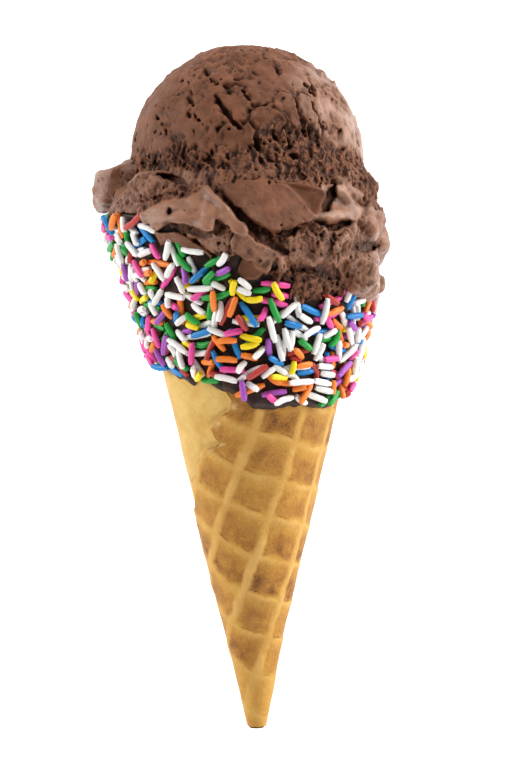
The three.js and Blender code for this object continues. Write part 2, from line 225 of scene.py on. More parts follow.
def pits(points, size, share, seed=0):
    """Distance to round pits, one in each cell of a grid at most, where share says how many cells have one."""
    place = (points @ LATTICE_TURN) / size + seed * 11.7
    base = np.floor(place - 0.5)
    nearest = np.full(len(points), 9.0, np.float32)
    for i in (0, 1):
        for j in (0, 1):
            for k in (0, 1):
                cell = base + (i, j, k)
                index = cell.astype(np.int64)
                x, y, z = (index[:, 0] & 63), (index[:, 1] & 63), (index[:, 2] & 63)
                jitter = np.stack([LATTICE[x, y, z], LATTICE[y, z, x], LATTICE[z, x, y]], 1)
                centre = cell + 0.5 + 0.28 * jitter
                radius = 0.18 + 0.14 * LATTICE[(x + 31) & 63, y, z]
                there = (LATTICE[x, (y + 17) & 63, z] * 0.5 + 0.5) < share
                away = np.linalg.norm(place - centre, axis=1) - radius
                nearest = np.where(there, np.minimum(nearest, away), nearest)
    return nearest * size


# ---------------------------------------------------------------- materials


def shade(code):
    """A colour from its sRGB hex code, in linear light."""
    parts = [int(code[i : i + 2], 16) / 255 for i in (1, 3, 5)]
    return [c / 12.92 if c <= 0.04045 else ((c + 0.055) / 1.055) ** 2.4 for c in parts] + [1.0]


def add(tree, kind, inputs=(), stops=(), **settings):
    """Adds one node with its settings. Its inputs go by name or in order, and each is a value, a socket to link, or
    a node whose first output is linked. A colour ramp also has stops."""
    node = tree.nodes.new(kind)
    for name, value in settings.items():
        setattr(node, name, value)
    for name, value in inputs.items() if isinstance(inputs, dict) else enumerate(inputs):
        if isinstance(value, bpy.types.Node):
            value = value.outputs[0]
        if isinstance(value, bpy.types.NodeSocket):
            tree.links.new(value, node.inputs[name])
        else:
            node.inputs[name].default_value = value
    for index, (place, colour) in enumerate([*stops[:1], *stops[-1:], *stops[1:-1]]):
        stop = node.color_ramp.elements[index] if index < 2 else node.color_ramp.elements.new(place)
        stop.position, stop.color = place, colour
    return node


# The kinds of node that come most often.
MATHS = "ShaderNodeMath"
VECTORS = "ShaderNodeVectorMath"
NOISE = "ShaderNodeTexNoise"
RANGE = "ShaderNodeMapRange"
RAMP = "ShaderNodeValToRGB"
STORED = "GeometryNodeInputNamedAttribute"
SMOOTHLY = {"interpolation_type": "SMOOTHSTEP"}


def material(name):
    made = bpy.data.materials.new(name)
    made.use_nodes = True
    made.node_tree.nodes.clear()
    return made, made.node_tree


def finish_material(tree, shader):
    add(tree, "ShaderNodeOutputMaterial", {"Surface": shader})


def baked_wafer():
    """Baked waffle: a dry, matt, finely pored crust, pale on the ridges and browned in the cells."""
    made, tree = material("baked_waffle")
    where = add(tree, "ShaderNodeTexCoord").outputs["Object"]
    toast, ridge, plain, torn = [add(tree, "ShaderNodeAttribute", attribute_name=name).outputs["Fac"]
                                 for name in ("toast", "ridge", "plain", "crumb")]
    # Browning patches are 6 mm across, the crust's grain 0.9 mm, and its pores 0.7 mm.
    patch = add(tree, NOISE, {"Vector": where, "Scale": 1 / 0.006, "Detail": 4.0, "Roughness": 0.62})
    grain = add(tree, NOISE, {"Vector": where, "Scale": 1 / 0.0009, "Detail": 4.0})
    pore = add(tree, NOISE, {"Vector": where, "Scale": 1 / 0.0007, "Detail": 2.0})
    brown = -0.45
    for value, weight in ((patch, 0.9), (toast, 0.65), (pore, 0.5)):
        brown = add(tree, MATHS, [value, weight, brown], operation="MULTIPLY_ADD")
    brown = add(tree, MATHS, [brown, 0.25], operation="SUBTRACT")
    crust = add(tree, RAMP, [brown], [(0.0, shade("#c4994a")), (0.3, shade("#b9883a")), (0.6, shade("#a6732f")),
                                      (0.85, shade("#8c5b21")), (1.0, shade("#6a3f16"))])
    pale = add(tree, RAMP, [patch], [(0.3, shade("#d3b169")), (0.7, shade("#c0954a"))])
    crest = add(tree, MATHS, [ridge, 0.65], operation="MULTIPLY")
    colour = crust
    for share, other in ((crest, shade("#d2a55f")), (plain, pale), (torn, shade("#e2c283"))):
        colour = add(tree, "ShaderNodeMix", {"Factor": share, "A": colour, "B": other},
                     data_type="RGBA").outputs["Result"]
    bump = add(tree, "ShaderNodeBump", {"Height": grain, "Strength": 0.6, "Distance": 0.0004})
    finish_material(tree, add(tree, "ShaderNodeBsdfPrincipled", {
        "Base Color": colour, "Roughness": 0.65, "IOR": 1.45, "Specular IOR Level": 0.32, "Normal": bump,
        "Subsurface Weight": 0.15, "Subsurface Radius": (1.0, 0.6, 0.3), "Subsurface Scale": 0.0015,
    }))
    return made


def set_chocolate():
    """Set dark chocolate: dense, with a satin gloss, slightly uneven where it ran."""
    made, tree = material("set_dark_chocolate")
    where = add(tree, "ShaderNodeTexCoord").outputs["Object"]
    # The film's waves are 2.5 mm across.
    wave = add(tree, NOISE, {"Vector": where, "Scale": 1 / 0.0025, "Detail": 3.0})
    colour = add(tree, RAMP, [wave], [(0.25, shade("#22130d")), (0.75, shade("#3c251a"))])
    bump = add(tree, "ShaderNodeBump", {"Height": wave, "Strength": 0.5, "Distance": 0.0004})
    finish_material(tree, add(tree, "ShaderNodeBsdfPrincipled", {
        "Base Color": colour, "Roughness": 0.5, "IOR": 1.46, "Specular IOR Level": 0.3, "Normal": bump,
    }))
    return made


def frozen_cream():
    """Chocolate ice cream: matt and crumbly where it tore, and smooth with a wet film where it was dragged."""
    made, tree = material("chocolate_ice_cream")
    where = add(tree, "ShaderNodeTexCoord").outputs["Object"]
    torn, wet, hollow = [add(tree, "ShaderNodeAttribute", attribute_name=name).outputs["Fac"]
                         for name in ("torn", "wet", "hollow")]
    # Cloudy patches are 7 mm across, crumbs 0.95 mm, and ice crystals 0.55 mm. The crumbs lie unevenly.
    cloud = add(tree, NOISE, {"Vector": where, "Scale": 1 / 0.007, "Detail": 4.0, "Roughness": 0.6})
    grain = add(tree, NOISE, {"Vector": where, "Scale": 1 / 0.00055, "Detail": 4.0, "Roughness": 0.7})
    bent = add(tree, NOISE, {"Vector": where, "Scale": 1 / 0.0014, "Detail": 2.0}).outputs["Color"]
    bent = add(tree, VECTORS, [bent, (0.0014, 0.0014, 0.0014), where], operation="MULTIPLY_ADD")
    crumb = add(tree, "ShaderNodeTexVoronoi", {"Vector": bent, "Scale": 1 / 0.00095}, feature="SMOOTH_F1")
    smooth = add(tree, RAMP, [cloud], [(0.3, shade("#5f361e")), (0.7, shade("#794a30"))])
    rough = add(tree, RAMP, [cloud], [(0.3, shade("#704229")), (0.7, shade("#8e5a3c"))])
    # Where it is wet the colour is painted lighter and paler: partly the melted cream's own tint, partly painted
    # sheen and painted light.
    melted_tint_and_sheen = add(tree, MATHS, [wet, 0.85], operation="MULTIPLY")
    # Painted shade: hollows, creases and pits are painted darker, and so are the gaps between crumbs where it is
    # torn.
    gap = add(tree, RANGE, {"Value": crumb, "From Min": 0.34, "From Max": 0.66, "To Max": 0.7})
    open_crumb = add(tree, MATHS, [torn, 3.0], operation="POWER")
    gap = add(tree, MATHS, [gap, open_crumb], operation="MULTIPLY")
    dark = add(tree, MATHS, [hollow, 0.8, gap], operation="MULTIPLY_ADD", use_clamp=True)
    colour = smooth
    # The last colour, #34190c, is the painted shade.
    for share, other in ((torn, rough), (melted_tint_and_sheen, shade("#a07256")), (dark, shade("#34190c"))):
        colour = add(tree, "ShaderNodeMix", {"Factor": share, "A": colour, "B": other},
                     data_type="RGBA").outputs["Result"]
    lump = add(tree, MATHS, [crumb, torn], operation="MULTIPLY")
    height = add(tree, MATHS, [lump, -1.5, grain], operation="MULTIPLY_ADD")
    strength = add(tree, RANGE, {"Value": torn, "To Min": 0.4, "To Max": 0.9})
    bump = add(tree, "ShaderNodeBump", {"Height": height, "Strength": strength, "Distance": 0.0005})
    dull = add(tree, RANGE, {"Value": wet, "To Min": 0.6, "To Max": 0.25})
    film = add(tree, MATHS, [wet, 0.9], operation="MULTIPLY")
    finish_material(tree, add(tree, "ShaderNodeBsdfPrincipled", {
        "Base Color": colour, "Roughness": dull, "IOR": 1.4, "Specular IOR Level": 0.36, "Normal": bump,
        "Coat Weight": film, "Coat Roughness": 0.1, "Coat IOR": 1.4, "Coat Normal": bump,
        "Subsurface Weight": 0.1, "Subsurface Radius": (1.0, 0.5, 0.3), "Subsurface Scale": 0.001,
    }))
    return made


def sugar_sprinkle(name, code):
    """Sugar strand with a wax glaze: an even colour with a soft shine and faint mottling."""
    made, tree = material("sugar_" + name)
    where = add(tree, "ShaderNodeTexCoord").outputs["Object"]
    mottle = add(tree, NOISE, {"Vector": where, "Scale": 1 / 0.002, "Detail": 3.0})
    light = shade(code)
    dark = [0.82 * c for c in light[:3]] + [1.0]
    finish_material(tree, add(tree, "ShaderNodeBsdfPrincipled", {
        "Base Color": add(tree, RAMP, [mottle], [(0.0, dark), (1.0, light)]), "Roughness": 0.45, "IOR": 1.45,
        "Subsurface Weight": 0.15, "Subsurface Radius": (1.0, 1.0, 1.0), "Subsurface Scale": 0.0006,
    }))
    return made


# ---------------------------------------------------------------- the cone's form


def rim_height(azimuth):
    return RIM_HEIGHT - RIM_RISE * np.cos(azimuth * RAD)


def dip_height(azimuth):
    """The chocolate's lower edge: a tilted ring with slow waves and small scallops."""
    return (
        DIP_EDGE_HEIGHT
        - DIP_EDGE_TO_RIGHT * np.cos(azimuth * RAD)
        - DIP_EDGE_TO_FRONT * np.sin(azimuth * RAD)
        + 1.1 * np.sin((3 * azimuth + 50) * RAD)
        + 0.7 * np.sin((7 * azimuth + 20) * RAD)
    )


def seam_azimuth(height):
    share = np.clip((height - SEAM_LOW) / (SEAM_HIGH - SEAM_LOW), 0, 1)
    return SEAM_AZIMUTH_LOW - SEAM_TURNS * share**SEAM_CURVE


def torn_seam(height):
    """The seam where it shows: the outer edge is torn in steps."""
    return np.interp(height, SEAM_HEIGHTS, SEAM_AZIMUTHS)


def rolled(azimuth, height):
    """How far round its roll the sheet has come: 0 just past its outer edge, 1 at the edge itself."""
    turns = (azimuth - seam_azimuth(height)) / 360
    return turns - np.floor(turns)


def rise(share):
    return SHEET * np.maximum(0, (share - BORDER) / (1 - BORDER))


def wall_radius(azimuth, height):
    return side_radius(height) - SHEET / 2 + rise(rolled(azimuth, height))


def dip_radius(azimuth, height):
    return wall_radius(azimuth, height) + GAP + DIP_THICKNESS + 0.2 * np.sin(5 * azimuth * RAD)


def from_axis(azimuth, radius, height):
    azimuth, radius, height = np.broadcast_arrays(azimuth, radius, height)
    return np.stack([radius * np.cos(azimuth * RAD), height, radius * np.sin(azimuth * RAD)], -1)


def grid_faces(rows, columns):
    """The faces of a grid of points that closes on itself round its columns."""
    faces = []
    for row in range(rows - 1):
        for column in range(columns):
            after = (column + 1) % columns
            here, above = row * columns, (row + 1) * columns
            faces.append((here + column, above + column, above + after, here + after))
    return faces


# ---------------------------------------------------------------- the waffle cone


SHELL_COLUMNS = 340
SHELL_ROWS = 216
SHELL_TO = 122.0
# Where the outer edge is broken, so that its crumb shows: height, and how far the break reaches.
BROKEN_EDGE = ((105.5, 3.0), (95.8, 1.8))


def waffle_shell():
    """The rolled sheet without its waffle, as rows of points up the outside and down the hollow."""
    share = np.linspace(0.0, 1.0, SHELL_COLUMNS)
    blank = np.zeros(SHELL_COLUMNS)
    points, sheet, plain, crumb = [], [], [], []

    def add_row(azimuth, radius, height, pressed=blank, flat=blank, edge=blank):
        height = blank + height
        points.append(from_axis(azimuth, blank + radius, height))
        along = height / math.cos(HALF_ANGLE * RAD)
        turned = (azimuth - 360.0) * UNROLL * RAD
        sheet.append(np.stack([along * np.cos(turned), along * np.sin(turned), blank + pressed], -1))
        plain.append(blank + flat)
        crumb.append(blank + edge)

    tip = side_radius(TIP_HEIGHT)
    for radius, height in ((0.0, TIP_HEIGHT), (tip - TIP_ROUNDING, TIP_HEIGHT),
                           (tip - 0.3 * TIP_ROUNDING, TIP_HEIGHT + 0.25)):
        add_row(share * 360, radius, height, TIP_PRESSED)
    for height in np.linspace(TIP_HEIGHT + TIP_ROUNDING, SHELL_TO, SHELL_ROWS):
        torn = np.array([[0.0, height, 3.0]])
        ragged = 1.1 * float(uneven(torn, 5.0, 3)[0]) + 0.8 * float(uneven(torn, 1.6, 4)[0])
        azimuth = torn_seam(height) + ragged / (side_radius(height) * RAD) + share * 360
        open_up = smoothstep(TIP_PLAIN_TO - 8, WAFFLE_FROM, height)
        level = side_radius(height) - (SHEET / 2) * open_up + rise(share) * open_up
        border = 1 - smoothstep(BORDER - 0.03, BORDER + 0.12, share)
        place = from_axis(azimuth, level, height)
        broken = max(math.exp(-(((height - middle) / reach) ** 2)) for middle, reach in BROKEN_EDGE)
        edge = smoothstep(0.974, 0.99, share) * smoothstep(-0.5, 0.3, uneven(place, 2.5, 6)) * broken
        level = level + 0.35 * edge * uneven(place, 1.2, 7) + 0.12 * uneven(place, 9.0, 5)
        add_row(azimuth, level, height, (1 - border) * mix(TIP_PRESSED, 1.0, open_up),
                border * smoothstep(30, 66, height), edge)
    azimuth = seam_azimuth(SEAM_HIGH) + share * 360
    for part in np.linspace(0, 1, 16):
        height = mix(SHELL_TO + 1, rim_height(azimuth), part)
        add_row(azimuth, wall_radius(azimuth - 0.001, height), height)
    for part, inset in ((1, 1.0), (1, WALL - 1), (0.75, WALL), (0.5, WALL), (0.25, WALL), (0, WALL)):
        height = mix(HOLLOW_FROM, rim_height(azimuth), part)
        add_row(azimuth, side_radius(height) - inset, height)
    add_row(azimuth, 0.0, HOLLOW_FROM)
    piece = mesh_piece("waffle_cone_rolled", np.concatenate(points), grid_faces(len(points), SHELL_COLUMNS))
    set_attribute(piece, "sheet", np.concatenate(sheet), "FLOAT_VECTOR")
    set_attribute(piece, "plain", np.concatenate(plain))
    set_attribute(piece, "crumb", np.concatenate(crumb))
    return merged(piece)


def geometry_tree(name, sockets):
    """A tree of geometry nodes and its inputs, each with its kind and its value, if it has one."""
    tree = bpy.data.node_groups.new(name, "GeometryNodeTree")
    for socket, kind, value in [("Geometry", "Geometry", None), *sockets]:
        made = tree.interface.new_socket(socket, in_out="INPUT", socket_type="NodeSocket" + kind)
        if value is not None:
            made.default_value = value
    tree.interface.new_socket("Geometry", in_out="OUTPUT", socket_type="NodeSocketGeometry")
    return tree, add(tree, "NodeGroupInput").outputs


def pressed_waffle(surface):
    """A tree that presses ridges both ways into a rolled sheet. It reads the sheet's flat place in millimetres."""
    tree, given = geometry_tree("pressed_waffle", [
        ("Pitch Along", "Float", WAFFLE_PITCH[0]), ("Pitch Across", "Float", WAFFLE_PITCH[1]),
        ("Origin Along", "Float", WAFFLE_ORIGIN[0]), ("Origin Across", "Float", WAFFLE_ORIGIN[1]),
        ("Width Along", "Float", 1.6), ("Width Across", "Float", 2.1), ("Ridge Height", "Float", RIDGE_HEIGHT)])
    sheet = add(tree, STORED, ["sheet"], data_type="FLOAT_VECTOR")
    # The press and the baker aren't exact: a ridge wanders by a millimetre.
    wander = add(tree, NOISE, {"Vector": sheet, "Scale": 0.1, "Detail": 2.0}).outputs["Color"]
    wander = add(tree, VECTORS, [wander, (0.5, 0.5, 0.5)], operation="SUBTRACT")
    wander = add(tree, VECTORS, [wander, (4.0, 4.0, 0), sheet], operation="MULTIPLY_ADD")
    place = add(tree, "ShaderNodeSeparateXYZ", [wander]).outputs
    pressed = add(tree, "ShaderNodeSeparateXYZ", [sheet]).outputs[2]
    crest, pale, turns, cell = {}, {}, {}, {}
    for axis, way in ((0, "Along"), (1, "Across")):
        pitch = given["Pitch " + way]
        off = add(tree, MATHS, [place[axis], given["Origin " + way]], operation="SUBTRACT")
        turns[way] = add(tree, MATHS, [off, pitch], operation="DIVIDE")
        cell[way] = add(tree, MATHS, [turns[way]], operation="FLOOR")
        whole = add(tree, MATHS, [turns[way]], operation="ROUND")
        part = add(tree, MATHS, [turns[way], whole], operation="SUBTRACT")
        away = add(tree, MATHS, [part, pitch], operation="MULTIPLY")
        away = add(tree, MATHS, [away], operation="ABSOLUTE")
        half = add(tree, MATHS, [given["Width " + way], 0.5], operation="MULTIPLY")
        pale_from, pale_to, crest_from, crest_to = [
            add(tree, MATHS, [half, reach], operation="MULTIPLY") for reach in (0.4, 1.9, 0.25, 1.75)]
        pale[way] = add(tree, RANGE, [away, pale_from, pale_to, 0.1, 1.0], **SMOOTHLY)
        crest[way] = add(tree, RANGE, [away, crest_from, crest_to, 1.0, 0.0], **SMOOTHLY)
    # Some stretches of a ridge are worn lower than others.
    worn = add(tree, NOISE, {"Vector": sheet, "Scale": 0.11, "Detail": 2.0})
    worn = add(tree, RANGE, [worn, 0.4, 0.6, 0.35, 1.0], **SMOOTHLY)
    ridge = add(tree, MATHS, [crest["Along"], 0.6], operation="MULTIPLY")
    ridge = add(tree, MATHS, [ridge, crest["Across"]], operation="MAXIMUM")
    for factor in (pressed, worn):
        ridge = add(tree, MATHS, [ridge, factor], operation="MULTIPLY")
    # A cell is darkest just above the ridge at its foot, and each cell is browned differently.
    up = add(tree, MATHS, [turns["Along"]], operation="FRACT")
    chance = add(tree, "ShaderNodeCombineXYZ", [cell["Along"], cell["Across"], 3.0])
    chance = add(tree, "ShaderNodeTexWhiteNoise", {"Vector": chance}, noise_dimensions="3D")
    toasted = add(tree, RANGE, [up, 0.06, 0.24, 0.0, 1.0], **SMOOTHLY)
    for factor in (add(tree, RANGE, [up, 0.55, 1.0, 1.0, 0.35], **SMOOTHLY),
                   add(tree, MATHS, [chance, 0.6, 0.6], operation="MULTIPLY_ADD")):
        toasted = add(tree, MATHS, [toasted, factor], operation="MULTIPLY")
    # Along that ridge runs a darker line, broken here and there.
    broken = add(tree, NOISE, {"Vector": sheet, "Scale": 0.22, "Detail": 1.0})
    line = add(tree, RANGE, [up, 0.07, 0.12, 0.0, 1.0], **SMOOTHLY)
    for factor in (add(tree, RANGE, [up, 0.12, 0.19, 1.0, 0.0], **SMOOTHLY),
                   add(tree, RANGE, [broken, 0.4, 0.6, 0.1, 1.0], **SMOOTHLY)):
        line = add(tree, MATHS, [line, factor], operation="MULTIPLY")
    darker_foot = add(tree, MATHS, [toasted, 0.6], operation="MULTIPLY")
    darker_foot = add(tree, MATHS, [darker_foot, line], operation="ADD")
    toasted = add(tree, MATHS, [toasted, darker_foot], operation="MAXIMUM")
    mottled = add(tree, NOISE, {"Vector": sheet, "Scale": 0.32, "Detail": 3.0})
    mottled = add(tree, RANGE, [mottled, 0.3, 0.65, 0.7, 1.05], **SMOOTHLY)
    for factor in (mottled, pale["Across"], pressed):
        toasted = add(tree, MATHS, [toasted, factor], operation="MULTIPLY")
    toasted = add(tree, MATHS, [toasted, 0.2], operation="ADD")
    kept = given["Geometry"]
    for name, value in (("ridge", ridge), ("toast", toasted)):
        kept = add(tree, "GeometryNodeStoreNamedAttribute", {"Geometry": kept, "Name": name, "Value": value})
    # The shell is at the level of the ridges, so that the cells are pressed in.
    depth = add(tree, MATHS, [pressed, ridge], operation="SUBTRACT")
    for factor in (given["Ridge Height"], -MM):
        depth = add(tree, MATHS, [depth, factor], operation="MULTIPLY")
    offset = add(tree, VECTORS, {0: add(tree, "GeometryNodeInputNormal"), "Scale": depth}, operation="SCALE")
    moved = add(tree, "GeometryNodeSetPosition", {"Geometry": kept, "Offset": offset})
    real = add(tree, "GeometryNodeRealizeInstances", {"Geometry": moved})
    dressed = add(tree, "GeometryNodeSetMaterial", {"Geometry": real, "Material": surface})
    add(tree, "NodeGroupOutput", {"Geometry": dressed})
    return tree


def made_real(piece, tree, sizes=None):
    """Runs a tree on a piece, and gives the piece the plain mesh that comes out."""
    modifier = piece.modifiers.new(tree.name, "NODES")
    modifier.node_group = tree
    sockets = {item.name: item.identifier for item in tree.interface.items_tree if item.in_out == "INPUT"}
    for name, value in (sizes or {}).items():
        modifier[sockets[name]] = value
    graph = bpy.context.evaluated_depsgraph_get()
    mesh = bpy.data.meshes.new_from_object(piece.evaluated_get(graph), preserve_all_data_layers=True, depsgraph=graph)
    piece.modifiers.remove(modifier)
    piece.data = mesh
    return piece


def waffle_cone():
    return press_flat(made_real(waffle_shell(), pressed_waffle(baked_wafer())))


# ---------------------------------------------------------------- the chocolate dip


def chocolate_dip():
    """The chocolate on the rim: a film with a rounded, uneven lower edge."""
    columns = 400
    azimuth = np.linspace(0, 360, columns, endpoint=False)
    rim = rim_height(azimuth)
    ring = from_axis(azimuth, 30.0, 0.0)
    scallop = 0.7 * uneven(ring, 5.0, 8) + 0.35 * uneven(ring, 2.2, 9)
    low = dip_height(azimuth) + scallop
    rows = []
    for share in np.concatenate([np.linspace(0, 0.04, 7), np.linspace(0.055, 1, 62)]):
        height = mix(low, rim, share)
        film = math.sqrt(min(1.0, share / 0.04 * 1.15)) if share < 0.035 else 1.0
        place = from_axis(azimuth, 33.0, height)
        lumps = 0.22 * uneven(place, 6.0, 1) + 0.1 * uneven(place, 2.0, 2)
        thick = film * (DIP_THICKNESS + lumps) + 0.05
        rows.append(from_axis(azimuth, wall_radius(azimuth, height) + thick, height))
    for share in (1.0, 0.75, 0.5, 0.25, 0.1, 0.02, 0.0):
        height = mix(low, rim, share)
        rows.append(from_axis(azimuth, wall_radius(azimuth, height) - 0.3, height))
    points = np.concatenate(rows)
    # The last row is joined to the first.
    faces = [[i % len(points) for i in face] for face in grid_faces(len(rows) + 1, columns)]
    piece = mesh_piece("chocolate_dip_film", points, faces)
    piece.data.materials.append(set_chocolate())
    return piece


# ---------------------------------------------------------------- the sprinkles

# Each colour, and its share of all.
SPRINKLE_COLOURS = {
    "white": ("#f3f0ec", 0.46),
    "pink": ("#ec4fa2", 0.12),
    "orange": ("#f6842b", 0.12),
    "yellow": ("#f5d90a", 0.07),
    "green": ("#1f9e3c", 0.1),
    "blue": ("#1580c6", 0.08),
    "purple": ("#a653b5", 0.08),
    "red": ("#b73a33", 0.05),
}


# The first draws lie flat on the film, clear of each other and ever shorter. The others are loose: they lean on those
# before them and fill the gaps, and have a shortest, a commonest and a greatest length.
FLAT_DRAWS = 800
DRAWS = 6400
FLAT_LENGTHS = (9.0, 5.0)
LOOSE_LENGTHS = (3.2, 5.4, 8.8)
# How near the middle lines of two come to each other, in radii.
FLAT_APART = 2
LOOSE_APART = 1.6
# How high each end of a loose one can lie, and both ends together.
LIFTS = (0, 0.5, 1.0, 1.5, 2.0)
MOST_LIFT = 3.2
# The steps of the even draws round the cone, up it and of the turn.
ROUND_STEP = 0.7548776662
UP_STEP = 0.569840291
TURN_STEP = 0.6180339887


def even_draw(n, step):
    return (0.5 + n * step) % 1


def under_torn_mass(place):
    """True in the hollow under the torn mass on the front, where none lie."""
    x, y, z = place
    return 4.5 < x < 27 and z > 0 and y > (141.5 if x > 9 else 144.5)


def sprinkle_places():
    """Where every sprinkle lies: its middle, its directions along and outwards, and its length."""
    rng = np.random.default_rng(11)
    laid_points = np.zeros((0, 5, 3))
    found = []
    lifts = sorted(((a, b) for a in LIFTS for b in LIFTS if a + b <= MOST_LIFT), key=sum)
    parts = np.linspace(-0.5, 0.5, 5)
    for n in range(DRAWS):
        azimuth = 360 * even_draw(n, ROUND_STEP)
        loose = n >= FLAT_DRAWS
        if loose:
            share, length = mix(-0.03, 0.98, even_draw(n, UP_STEP)), rng.triangular(*LOOSE_LENGTHS)
        else:
            share, length = mix(0.03, 0.97, even_draw(n, UP_STEP)), mix(*FLAT_LENGTHS, n / FLAT_DRAWS)
        foot = dip_height(azimuth)
        height = mix(foot, rim_height(azimuth), share)
        radius = dip_radius(azimuth, height)
        out = from_axis(azimuth, 1.0, -SLOPE)
        out = out / np.linalg.norm(out)
        round_way = np.cross([0.0, 1.0, 0.0], out)
        round_way /= np.linalg.norm(round_way)
        turn = math.pi * even_draw(n, TURN_STEP)
        along = round_way * math.cos(turn) + np.cross(out, round_way) * math.sin(turn)
        bow = (length * math.cos(turn)) ** 2 / (8 * radius)
        middle = from_axis(azimuth, radius, height) + out * (SPRINKLE_RADIUS - SPRINKLE_SUNK - 0.4 * bow)
        if under_torn_mass(middle):
            continue
        rod = middle + np.outer(parts * (length - 1.2), along)
        near = laid_points[np.linalg.norm(laid_points[:, 2] - middle, axis=1) < 9.5].reshape(-1, 3)
        apart = (LOOSE_APART if loose else FLAT_APART) * SPRINKLE_RADIUS
        for a, b in lifts if loose else lifts[:1]:
            raised = rod + np.outer(mix(a, b, parts + 0.5), out)
            if raised[:, 1].min() < foot + 0.9 or above_table(raised).min() < SPRINKLE_RADIUS:
                continue
            if not len(near) or np.linalg.norm(raised[:, None] - near[None], axis=2).min() > apart:
                ends = raised[-1] - raised[0]
                found.append((raised[2], ends / np.linalg.norm(ends), out, length))
                laid_points = np.concatenate([laid_points, raised[None]])
                break
    # One that is under the ice cream is left out, unless half of it shows.
    spots = laid_points.reshape(-1, 3)
    azimuth = np.arctan2(spots[:, 2], spots[:, 0]) / RAD
    under = np.zeros((len(found), 5), bool)
    for above in (0.5, 1.5, 2.5):
        place = from_axis(azimuth, dip_radius(azimuth, spots[:, 1]) + above, spots[:, 1])
        under |= (cream_field(place)[0] < 0).reshape(-1, 5)
    return [place for place, inside in zip(found, under.sum(1)) if inside < 3]


def sprinkle_tree():
    """A tree that lays a bent, blunt sugar strand on each point it is given."""
    tree, given = geometry_tree("sugar_strands", [
        ("Radius", "Float", SPRINKLE_RADIUS * MM), ("Rings", "Int", 8), ("Sides", "Int", 8),
        ("Material", "Material", None)])
    line = add(tree, "GeometryNodeCurvePrimitiveLine", {"Start": (-0.5, 0, 0), "End": (0.5, 0, 0)})
    rings = add(tree, "GeometryNodeResampleCurve", {"Curve": line, "Count": given["Rings"]})
    # The rings crowd towards the ends, which are blunt: only the last ring is drawn in.
    place = add(tree, "GeometryNodeSplineParameter").outputs["Factor"]
    place = add(tree, MATHS, [place, 0.5], operation="SUBTRACT")
    place = add(tree, MATHS, [place, math.pi], operation="MULTIPLY")
    place = add(tree, MATHS, [place], operation="SINE")
    place = add(tree, MATHS, [place, 0.5], operation="MULTIPLY")
    spot = add(tree, "ShaderNodeCombineXYZ", [place])
    crowded = add(tree, "GeometryNodeSetPosition", {"Geometry": rings, "Position": spot})
    kept = add(tree, "GeometryNodeStoreNamedAttribute", {"Geometry": crowded, "Name": "place", "Value": place})
    away = add(tree, MATHS, [place], operation="ABSOLUTE")
    width = add(tree, RANGE, [away, 0.45, 0.5, 1.0, 0.74], **SMOOTHLY)
    circle = add(tree, "GeometryNodeCurvePrimitiveCircle",
                 {"Resolution": given["Sides"], "Radius": given["Radius"]})
    rod = add(tree, "GeometryNodeCurveToMesh", {
        "Curve": kept, "Profile Curve": circle, "Scale": width, "Fill Caps": True})
    along, out = [add(tree, STORED, [name], data_type="FLOAT_VECTOR") for name in ("along", "out")]
    length, bend, where = [add(tree, STORED, [name], data_type="FLOAT") for name in ("length", "bend", "place")]
    turned = add(tree, "FunctionNodeAxesToRotation", {"Primary Axis": along, "Secondary Axis": out},
                 primary_axis="X", secondary_axis="Z")
    scale = add(tree, "ShaderNodeCombineXYZ", [length, 1.0, 1.0])
    strands = add(tree, "GeometryNodeInstanceOnPoints", {
        "Points": given["Geometry"], "Instance": rod, "Rotation": turned, "Scale": scale})
    real = add(tree, "GeometryNodeRealizeInstances", {"Geometry": strands})
    side = add(tree, VECTORS, [out, along], operation="CROSS_PRODUCT")
    arch = add(tree, MATHS, [where, where], operation="MULTIPLY")
    arch = add(tree, MATHS, [arch, -4.0, 0.5], operation="MULTIPLY_ADD")
    arch = add(tree, MATHS, [arch, bend], operation="MULTIPLY")
    offset = add(tree, VECTORS, {0: side, "Scale": arch}, operation="SCALE")
    bent = add(tree, "GeometryNodeSetPosition", {"Geometry": real, "Offset": offset})
    smooth = add(tree, "GeometryNodeSetShadeSmooth", {"Geometry": bent, "Shade Smooth": True})
    dressed = add(tree, "GeometryNodeSetMaterial", {"Geometry": smooth, "Material": given["Material"]})
    add(tree, "NodeGroupOutput", {"Geometry": dressed})
    return tree


def sprinkles():
    """The sprinkles, as one piece for each colour. A few of them are bent more than the rest."""
    places = sprinkle_places()
    rng = np.random.default_rng(23)
    odds = np.array([share for _, share in SPRINKLE_COLOURS.values()])
    picked = rng.choice(len(odds), len(places), p=odds / odds.sum())
    bends = rng.normal(0, 0.16, len(places)) * MM
    bends[rng.random(len(places)) < 0.14] *= 3.5
    tree = sprinkle_tree()
    pieces = []
    for index, (name, (code, _)) in enumerate(SPRINKLE_COLOURS.items()):
        chosen = np.flatnonzero(picked == index)
        middle, along, out, length = zip(*[places[i] for i in chosen])
        piece = mesh_piece("sprinkles_" + name, np.array(middle), [])
        set_attribute(piece, "along", [TABLE_TURN @ way for way in along], "FLOAT_VECTOR")
        set_attribute(piece, "out", [TABLE_TURN @ way for way in out], "FLOAT_VECTOR")
        set_attribute(piece, "length", np.array(length) * MM)
        set_attribute(piece, "bend", bends[chosen])
        pieces.append(made_real(piece, tree, {"Material": sugar_sprinkle(name, code)}))
    return pieces


# ---------------------------------------------------------------- the ice cream

